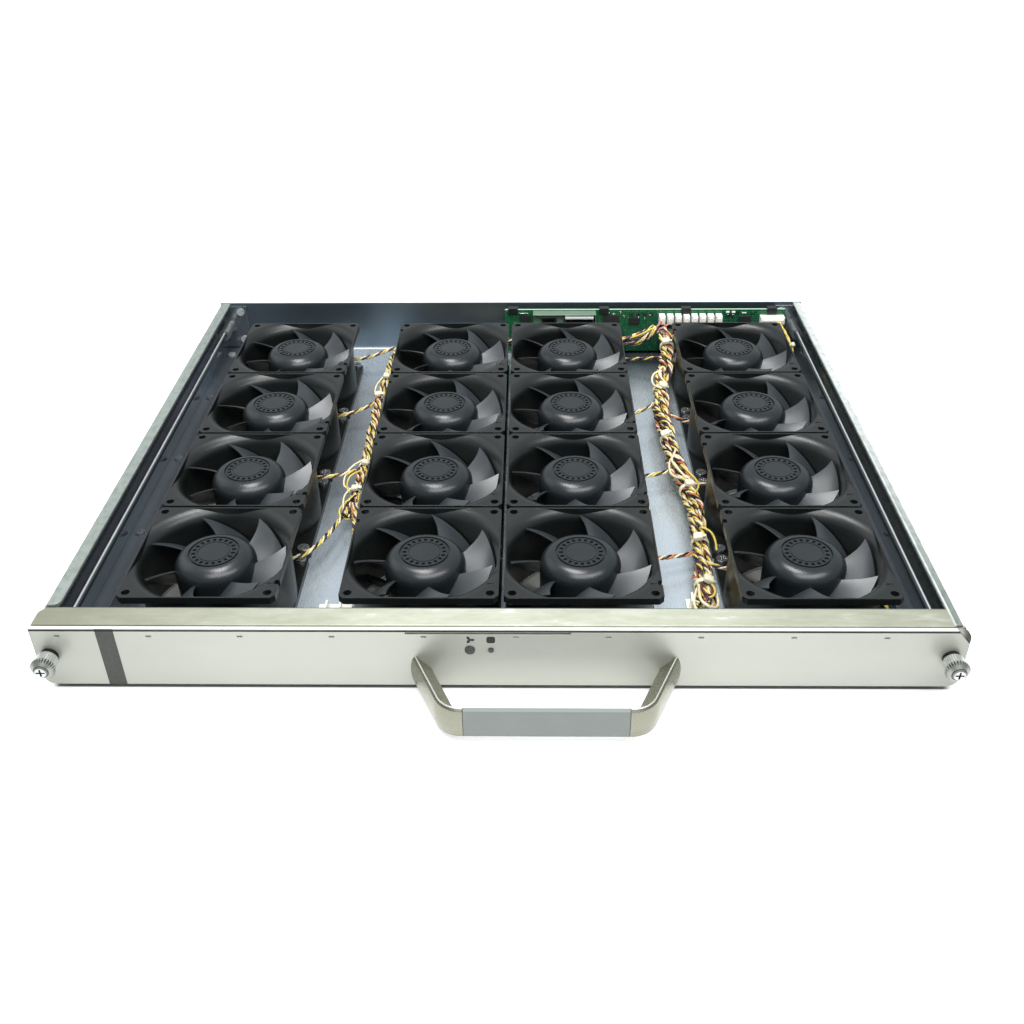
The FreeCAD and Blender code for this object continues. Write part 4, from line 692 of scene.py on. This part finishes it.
def frames(pts):
    t = np.gradient(pts, axis=0)
    t /= np.linalg.norm(t, axis=1)[:, None]
    up = np.array((0.0, 0.0, 1.0))
    a = np.cross(t, up)
    a /= np.linalg.norm(a, axis=1)[:, None]
    b = np.cross(a, t)
    return t, a, b


class Wander:
    """A slow wobble that is the same each run."""

    def __init__(self, seed, wave, size):
        r = random.Random(seed)
        self.w = [(2 * math.pi / (wave * r.uniform(0.6, 1.6)), r.uniform(0, 6.28), size * r.uniform(0.3, 0.6)) for _ in range(3)]

    def __call__(self, s):
        return sum(k * np.sin(w * s + p) for w, p, k in self.w)


def smooth_step(x):
    x = np.clip(x, 0, 1)
    return x * x * (3 - 2 * x)


# -------------------------------------------------------------------- harness
WIRES = ["wire_yellow", "wire_purple", "wire_orange", "wire_black", "wire_cream", "wire_brown", "wire_pink"]
SETS = [(0, 3, 4), (4, 1, 0), (3, 4, 2), (0, 1, 4), (4, 5, 0), (1, 0, 3), (4, 3, 0), (2, 4, 1), (0, 5, 4)]


def lead_wires(mesh, line, s, kinds, wire_r, lay_r, pitch, phase, seed, sides=8):
    """Several wires twisted together along a line."""
    t, a, b = frames(line)
    n = len(kinds)
    wob = Wander(seed, 0.03, 0.5)
    for k, kind in enumerate(kinds):
        ang = 2 * math.pi * k / n + 2 * math.pi * s / pitch + phase + wob(s)
        rad = lay_r * (1.0 + 0.22 * Wander(seed * 7 + k, 0.02, 1.0)(s))
        p = line + (np.cos(ang) * rad)[:, None] * a + (np.sin(ang) * rad)[:, None] * b
        mesh.tube(p, wire_r, kind, sides)


def trunk(mesh, points, slots, wire_r, lay_r, turn, ties, pull, swell, seed, step=0.0011):
    """Twisted leads laid side by side, drawn in at each tie and slack between the ties."""
    line, s = even(route(points), step)
    t, a, b = frames(line)
    held = np.zeros(len(s))
    for c in ties:
        held = np.maximum(held, np.exp(-(np.linalg.norm(line - np.asarray(c) * MM, axis=1) / 0.0065) ** 2))
    size = swell * (1 - held) + pull * held
    for j, (r0, a0) in enumerate(slots):
        w1, w2 = Wander(seed + j, 0.06, 0.55), Wander(seed + 50 + j, 0.035, 0.20)
        ang = a0 + 2 * math.pi * s / turn + w1(s)
        rad = r0 * MM * (1 + w2(s)) * size
        p = line + (np.cos(ang) * rad)[:, None] * a + (np.sin(ang) * rad)[:, None] * b
        lead_wires(mesh, p, s, SETS[(j * 2 + seed) % len(SETS)], wire_r * MM, lay_r * MM, (9.5 + 1.1 * ((j * 5) % 4)) * MM, j * 1.3, seed + 11 * j)
    return line


def stray(mesh, points, kind, r):
    """A slack wire that leaves the bundle and comes back."""
    line, s = even(route(points, 24), 0.0010)
    mesh.tube(line, r * MM, kind, 8)


RIGHT = [(109.6, -140, 8.4), (110.3, -128, 9.1), (112.8, -93, 11.1), (114.9, -67, 12.7), (112.4, -36, 14.3), (109.4, -20, 15.1),
         (105.6, 21, 16.7), (104.7, 55, 17.5), (106.9, 90, 19.6), (113.5, 114, 21.8), (117.5, 140, 25.7), (118.5, 157, 29.5)]
LEFT = [(-94.3, -60, 11.4), (-90.9, -44.6, 13.6), (-89.5, -31.9, 15.1), (-89.2, -8, 15.7), (-88.9, 10, 16.1), (-89.5, 38, 17.2),
        (-89.6, 67, 18.8), (-87.3, 85, 21.3), (-84.2, 110, 25.5), (-84.5, 163.0, 20.0), (88.0, 163.0, 18.5), (103.0, 162.6, 21.0), (112.0, 167.0, 28.5)]
TIES_R = [-124.0, -88.0, -36.0, 21.0, 83.0, 140.0]
TIES_L = [-39.0, -11.0, 72.0, 94.0]


def on_path(points, y):
    for a, c in zip(points, points[1:]):
        if a[1] <= y <= c[1]:
            k = (y - a[1]) / (c[1] - a[1])
            return tuple(a[j] + (c[j] - a[j]) * k for j in range(3))


spots_r = [on_path(RIGHT, y) for y in TIES_R]
spots_l = [on_path(LEFT, y) for y in TIES_L] + [(80.0, 163.0, 18.57)]
TAU = 2 * math.pi
wires = Mesh()
right_line = trunk(wires, RIGHT, [(4.2, TAU * k / 6) for k in range(6)] + [(1.6, TAU * k / 2 + 0.5) for k in range(2)],
                   0.66, 0.80, 150 * MM, spots_r, 0.70, 1.04, 3)
for kind, r, pts in (
        (4, 0.85, [(107, -126, 10), (103.5, -135, 9), (104.5, -143.0, 7.5), (110.5, -145.5, 9), (114.5, -138, 9), (112, -126, 10.5)]),
        (4, 0.85, [(112.5, -126, 11), (117.0, -133, 11), (116.5, -141.5, 8), (110, -144.5, 12), (105.5, -138, 13), (108, -126, 12)]),
        (5, 0.70, [(110, -124, 13), (107, -131, 15), (110.5, -138.5, 14.5), (115.5, -134, 12), (113, -124, 12.5)]),
        (4, 0.80, [(105, -128, 7), (101.8, -136, 5), (103, -143.5, 4.6), (109, -143.5, 5), (112, -134, 6.5)]),
        (0, 0.70, [(113, -122, 12), (116.5, -130, 13), (113.5, -139, 13.5), (107.5, -136, 12), (107, -124, 12)]),
        (4, 0.80, [(109, -30, 19.5), (104, -25, 17), (102.6, -15, 17.5), (104.5, -7, 20), (109.5, -4, 21), (112, -12, 20.5)]),
        (4, 0.75, [(112, -31, 20), (106.5, -21, 21.5), (104.0, -11, 21), (107.5, -3, 21), (109, 4, 20)]),
        (0, 0.66, [(115, -46, 19), (119, -38, 18), (118.5, -28, 17), (113, -22, 20), (110, -16, 20.5)]),
        (4, 0.80, [(107, 78, 24.5), (102.4, 83, 23), (101.4, 93, 23.5), (104.5, 101, 25.5), (109.5, 100, 26.5)]),
        (4, 0.75, [(111.5, 82, 25), (108, 90, 26), (106.5, 100, 26), (110.5, 107, 26.5)]),
        (0, 0.66, [(121, -98, 15), (121.6, -90, 16), (119, -82, 18), (114, -80, 18)])):
    stray(wires, pts, kind, r)
o = wires.done("right_harness_wires", WIRES)
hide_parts("right_harness")

wires = Mesh()
left_line = trunk(wires, LEFT, [(2.0, TAU * k / 4) for k in range(4)], 0.60, 0.70, 95 * MM, spots_l, 0.70, 1.05, 20)
trunk(wires, [(56, 162.8, 19.6), (76, 162.4, 19.8), (90, 161.4, 21.0), (102, 160.4, 24.6), (111, 164.0, 30.0)], [(2.6, TAU * k / 5) for k in range(5)],
      0.60, 0.70, 70 * MM, [spots_l[-1]], 0.75, 1.05, 44)
for kind, r, pts in (
        (4, 0.66, [(-89, -8, 19.5), (-96.5, -13, 18.5), (-101.0, -22, 14), (-99.5, -30, 11), (-92.5, -33, 13.5)]),
        (0, 0.62, [(-90, -20, 18.5), (-96, -21, 17), (-98.5, -27, 13), (-96, -36, 12), (-91, -40, 15)]),
        (0, 0.66, [(-90.5, -42, 15.5), (-97, -50, 14), (-99.5, -57, 12), (-95.5, -60.5, 9.5), (-90, -60, 10), (-88, -52, 13)]),
        (3, 0.62, [(-90, -44, 16), (-94.5, -52, 15.5), (-96.5, -60, 13), (-92, -60.5, 10), (-89, -50, 13)]),
        (4, 0.62, [(-91, -36, 18), (-95.5, -42, 18), (-97.5, -50, 16), (-95.5, -59, 12)]),
        (4, 0.66, [(70, 163.5, 22), (90, 161.5, 22.5), (102, 160.0, 26), (110.5, 163.0, 31.5)]),
        (0, 0.66, [(64, 162.0, 21), (86, 160.5, 22), (99, 158.8, 26.5), (108, 160.5, 31.5)]),
        (3, 0.66, [(72, 161.0, 21), (92, 159.4, 22), (104, 158.5, 25.5), (113, 163.0, 31.0)]),
        (1, 0.66, [(74, 160.0, 19), (94, 158.6, 20), (106, 158.5, 23.5), (115, 164.0, 29.0)]),
        (4, 0.62, [(-88.5, 92, 25.5), (-92.0, 86, 24), (-93.0, 78, 21), (-90.5, 70, 22)])):
    stray(wires, pts, kind, r)
o = wires.done("left_harness_wires", WIRES)
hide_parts("left_harness")

# fan leads: from the fan's barrel to the trunk
COLS = [-151.6, -39.9, 42.6, 161.1]
ROWS = [-131.6 + 81.7 * i for i in range(4)]

leads = Mesh()
for r in range(4):
    for c in range(4):
        path = LEFT if c < 2 else RIGHT
        s = 1 if c in (0, 2) else -1
        ys = ROWS[r] + (26.0 if s > 0 else 18.0)
        x0 = COLS[c] + s * (math.sqrt(39.95 ** 2 - (ys - ROWS[r]) ** 2) + 0.05)
        top_y = 127.0 if c >= 2 else 160.0
        low_y = -57.0 if c == 0 else (-48.0 if c == 1 else -200.0)
        j = on_path(path, max(low_y, min(ys + 10.0, top_y)))
        edge = COLS[c] + s * 40.0
        tr = 3.8 if c < 2 else 6.2
        xm = edge + s * min(6.0, abs(j[0] - s * tr - edge) * 0.6)
        zz = 14.0 + 2.0 * (r % 2)
        j = (j[0] - s * tr * 0.55, j[1], j[2])
        line, dist = even(route([(x0, ys, zz), (xm, ys, zz), j]), 0.0010)
        lead_wires(leads, line, dist, SETS[(r * 4 + c) % len(SETS)], 0.62 * MM, 0.74 * MM, 11 * MM, r + c, 300 + r * 4 + c)
step = (163.2 - 113.7) / 8
for k in range(8):
    x = 113.7 + step * (k + 0.5)
    up = 1.15 if k % 2 == 0 else -1.15
    if k < 2:
        pts = [(110.9 + 1.4 * k, 166.5, 28.0 + up), (x, 170.0, 31.4 + up), (x, 176.2, 32.0 + up)]
    else:
        pts = [(118.5 + 2.2 * (k - 4.5), 156.4 - 0.8 * (k - 4.5), 28.4 + up), (x, 166.0, 26.3 + up), (x, 168.6, 29.2 + up * 0.3), (x, 171.4, 30.6)]
    line, dist = even(route(pts), 0.001)
    part = smooth_step(dist / dist[-1])
    for q, kind in enumerate((6, 1, 6, 2) if k < 2 else (6, 1, 0, 2)):
        off = np.array(((q - 1.5) * 0.62 * MM, 0, 0)) * part[:, None]
        tw = np.stack([0.45 * MM * np.cos(dist * 500 + q * 1.57), 0 * dist, 0.45 * MM * np.sin(dist * 500 + q * 1.57)], 1)
        leads.tube(line + off + tw * (1 - part)[:, None], 0.5 * MM, kind, 8)
    # plug housing on the end of the lead, with a latch rib on top
    leads.block((x * MM, 173.65 * MM, 32.0 * MM), (2.86 * MM, 5.4 * MM, 4.84 * MM), None, 7, 0.35 * MM, 3)
    leads.block((x * MM, 171.6 * MM, 34.2 * MM), (1.3 * MM, 1.5 * MM, 0.9 * MM), None, 7, 0.2 * MM, 2)
o = leads.done("fan_lead_wires", WIRES + ["white_plastic"])
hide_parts("fan_leads")

ind = Mesh()
line, dist = even(route([(205.0, 176.6, 31.3), (205.0, 168.0, 31.3), (208.5, 152.0, 28.0), (212.0, 143.0, 20.0), (211.0, 135.0, 5.0), (208.0, 115.0, 4.4), (208.0, -177.65, 4.4)], 60), 0.0016)
ind_line = line
lead_wires(ind, line, dist, (0, 0), 0.70 * MM, 0.62 * MM, 14 * MM, 0.3, 71)
ind.block((200.75 * MM, 174.1 * MM, 31.3 * MM), (16.0 * MM, 5.2 * MM, 3.6 * MM), None, 7, 0.4 * MM, 3)
for k in range(7):
    ind.block(((193.9 + 2.28 * k) * MM, 171.9 * MM, 32.6 * MM), (0.8 * MM, 1.6 * MM, 0.8 * MM), None, 7, 0.2 * MM, 2)
o = ind.done("indicator_lead_wires", WIRES + ["white_plastic"])
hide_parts("indicator_lead")


def on_line(line, spot):
    """Point and direction of a trunk next to a given spot."""
    i = int(np.argmin(np.linalg.norm(line - np.asarray(spot) * MM, axis=1)))
    i = min(max(i, 1), len(line) - 2)
    t = line[i + 1] - line[i - 1]
    return line[i], t / np.linalg.norm(t)


# cable ties: flat strap drawn tight round the bundle, rounded lock on top, cut tail
def strap(mesh, p, t, r, wide, thick, tilt=0.0, lock=(5.2, 4.6, 3.2), tail=1.0):
    p, t = Vector(p), Vector(t)
    up = (Vector((0, 0, 1)) - t * t.z).normalized()
    side = t.cross(up)
    seg = 40
    prof = [(-wide / 2, 0), (-wide / 2, thick * 0.6), (-wide * 0.35, thick), (wide * 0.35, thick), (wide / 2, thick * 0.6), (wide / 2, 0)]
    v, f = [], []
    for i in range(seg):
        a = 2 * math.pi * i / seg
        d = side * math.cos(a) + up * math.sin(a)
        for w, h in prof:
            v.append(p + d * (r + h) + t * w)
    k = len(prof)
    for i in range(seg):
        j = (i + 1) % seg
        for q in range(k):
            n = (q + 1) % k
            f.append((i * k + q, j * k + q, j * k + n, i * k + n))
    mesh.add(v, f)
    a = math.radians(90 + tilt)
    d = side * math.cos(a) + up * math.sin(a)
    e = t.cross(d)
    mesh.block(p + d * (r + 1.2 * MM), tuple(q * MM for q in lock), (e, t, d), 0, 1.0 * MM, 3)
    mesh.block(p + d * (r + 1.5 * MM * tail) + e * 3.2 * MM * tail, (2.8 * MM * tail, 2.2 * MM * tail, 0.9 * MM * tail), ((e - d * 0.35).normalized(), t, (d + e * 0.35).normalized()), 0, 0.25 * MM, 2)


ties = Mesh()
for i, c in enumerate(spots_r):
    p, t = on_line(right_line, c)
    strap(ties, p, t, 4.45 * MM, 2.8 * MM, 0.9 * MM, (-25, 14, -8, 22, -18, 10)[i], (5.8, 5.2, 3.4))
for i, c in enumerate(spots_l):
    p, t = on_line(left_line, c)
    strap(ties, p, t, 2.75 * MM, 2.4 * MM, 0.8 * MM, (12, -16, 8, -10, 20)[i], (4.6, 4.4, 3.0))
p, t = on_line(ind_line, (210.4, 147.1, 23.65))
strap(ties, p, t, 1.35 * MM, 2.2 * MM, 0.8 * MM, 10, (3.0, 3.4, 2.0), 0.45)
o = ties.done("cable_tie_straps", ["tie_nylon"])
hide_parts("cable_ties")

# ------------------------------------------------------------ small mould marks
marks = Mesh()
for r in range(4):
    for c in range(4):
        x, y, z = COLS[c] + 35.6, ROWS[r] - 26.4, 39.5
        out = [(-1.7, -1.6), (1.9, -1.6), (1.9, -0.2), (0.5, 2.6), (-0.4, 2.6), (-1.7, -0.2)]
        v = [((x + a) * MM, (y + b) * MM, (z + h) * MM) for h in (-0.05, 0.16) for a, b in out]
        n = len(out)
        marks.add(v, [tuple(range(n, 2 * n))] + [(i, (i + 1) % n, n + (i + 1) % n, n + i) for i in range(n)])
o = marks.done("frame_mould_marks", ["black_plastic"], smooth=False)

# small parts soldered along the top of the board
bits = Mesh()
for x, z, w, h, k in ((167.0, 36.4, 2.6, 1.5, 0), (171.4, 36.4, 2.6, 1.5, 0), (167.4, 33.4, 1.6, 2.4, 1), (171.0, 33.4, 1.6, 2.4, 1), (179.5, 36.0, 3.4, 1.2, 0),
                      (186.0, 35.4, 2.0, 1.2, 2), (11.0, 35.6, 7.5, 0.9, 1), (20.0, 34.6, 2.0, 2.0, 0), (76.0, 36.2, 2.0, 1.2, 1), (80.0, 35.0, 2.0, 1.2, 1),
                      (85.0, 36.2, 1.2, 2.0, 1), (88.0, 33.0, 1.2, 2.0, 1), (104.0, 31.0, 1.2, 2.0, 1), (108.0, 33.8, 2.0, 1.2, 1), (99.0, 31.8, 1.2, 2.2, 1)):
    bits.block((x * MM, 178.75 * MM, z * MM), (w * MM, 0.9 * MM, h * MM), None, k, 0.15 * MM, 2)
o = bits.done("board_small_parts", ["white_plastic", "bright_steel", "chip_black"])

# ---------------------------------------------------------------- stage, light
def stage_floor():
    me = bpy.data.meshes.new("studio_floor")
    me.from_pydata([(-6, -6, -0.0006), (6, -6, -0.0006), (6, 6, -0.0006), (-6, 6, -0.0006)], [], [(0, 1, 2, 3)])
    m, nt, sh = tree("floor_paper")
    f = noise(nt, coords(nt), 6.0, 3.0)
    paper = ramp(nt, f, [(0.3, (0.90, 0.90, 0.90, 1)), (0.7, (0.93, 0.93, 0.93, 1))])
    sh.inputs["Roughness"].default_value = 0.9
    sh.inputs["Specular IOR Level"].default_value = 0.1
    sh.inputs["Emission Color"].default_value = (1, 1, 1, 1)
    x, y, z = position(nt)
    # painted shadow: inside the tray's footprint the floor is painted dark and glows less
    ends = maths(nt, "MULTIPLY", remap(nt, x, -0.2240, -0.2215, 0.0, 1.0), remap(nt, x, 0.2215, 0.2262, 1.0, 0.0))
    under = maths(nt, "MULTIPLY", ends, inside(nt, y, -0.1932, 0.1910))
    nt.links.new(mix(nt, under, paper, (0.30, 0.30, 0.28, 1)), sh.inputs["Base Color"])
    nt.links.new(maths(nt, "MULTIPLY_ADD", under, -0.44, 0.45), sh.inputs["Emission Strength"])
    me.materials.append(m)
    o = bpy.data.objects.new("studio_floor", me)
    scene.collection.objects.link(o)


stage_floor()


def area(name, loc, target, size, watts, colour=(1, 1, 1)):
    l = bpy.data.lights.new(name, "AREA")
    l.shape = "RECTANGLE"
    l.size, l.size_y = size
    l.energy = watts
    l.color = colour
    o = bpy.data.objects.new(name, l)
    o.location = loc
    o.rotation_mode = "QUATERNION"
    o.rotation_quaternion = (Vector(target) - Vector(loc)).to_track_quat("-Z", "Y")
    scene.collection.objects.link(o)
    return o


area("key_overhead", (-0.10, -0.05, 1.05), (0, 0, 0), (0.55, 0.35), 8.5)
area("fill_front", (0.10, -0.72, 1.08), (0, 0.02, 0.02), (1.0, 0.55), 9.9)
area("kick_right", (0.62, -0.42, 0.92), (0, 0, 0.03), (0.45, 0.35), 2.6)
area("rim_left", (-1.1, 0.35, 0.85), (0, 0, 0.02), (1.0, 0.7), 1.6)

w = bpy.data.worlds.new("studio")
scene.world = w
w.use_nodes = True
nt = w.node_tree
nt.nodes.clear()
out = nt.nodes.new("ShaderNodeOutputWorld")
bg = nt.nodes.new("ShaderNodeBackground")
tc = nt.nodes.new("ShaderNodeTexCoord")
sp = nt.nodes.new("ShaderNodeSeparateXYZ")
nt.links.new(tc.outputs["Generated"], sp.inputs["Vector"])
col = ramp(nt, sp.outputs["Z"], [(0.0, (0.75, 0.77, 0.80, 1)), (0.30, (0.46, 0.50, 0.55, 1)), (0.62, (0.52, 0.56, 0.60, 1)), (0.85, (0.92, 0.93, 0.95, 1))])
back = remap(nt, sp.outputs["Y"], 0.1, 0.8, 0.0, 1.0)
nt.links.new(mix(nt, back, col, (0.80, 0.85, 0.88, 1)), bg.inputs["Color"])
bg.inputs["Strength"].default_value = 0.75
nt.links.new(bg.outputs["Background"], out.inputs["Surface"])

scene.view_settings.view_transform = "Standard"

# --------------------------------------------------------------------- camera
cam = bpy.data.cameras.new("camera")
cam.lens = 37.695
cam.sensor_width = 36.0
cam.clip_start, cam.clip_end = 0.01, 50.0
co = bpy.data.objects.new("camera", cam)
scene.collection.objects.link(co)
pitch, yaw, roll = math.radians(34.447), math.radians(-1.133), math.radians(-0.608)
fwd = Vector((math.sin(yaw) * math.cos(pitch), math.cos(yaw) * math.cos(pitch), -math.sin(pitch)))
right = Vector((math.cos(yaw), -math.sin(yaw), 0))
up = right.cross(fwd)
r2 = right * math.cos(roll) + up * math.sin(roll)
u2 = up * math.cos(roll) - right * math.sin(roll)
mat = Matrix((r2, u2, -fwd)).transposed().to_4x4()
mat.translation = Vector((0.0155, -0.58567, 0.37544))
co.matrix_world = mat
scene.camera = co
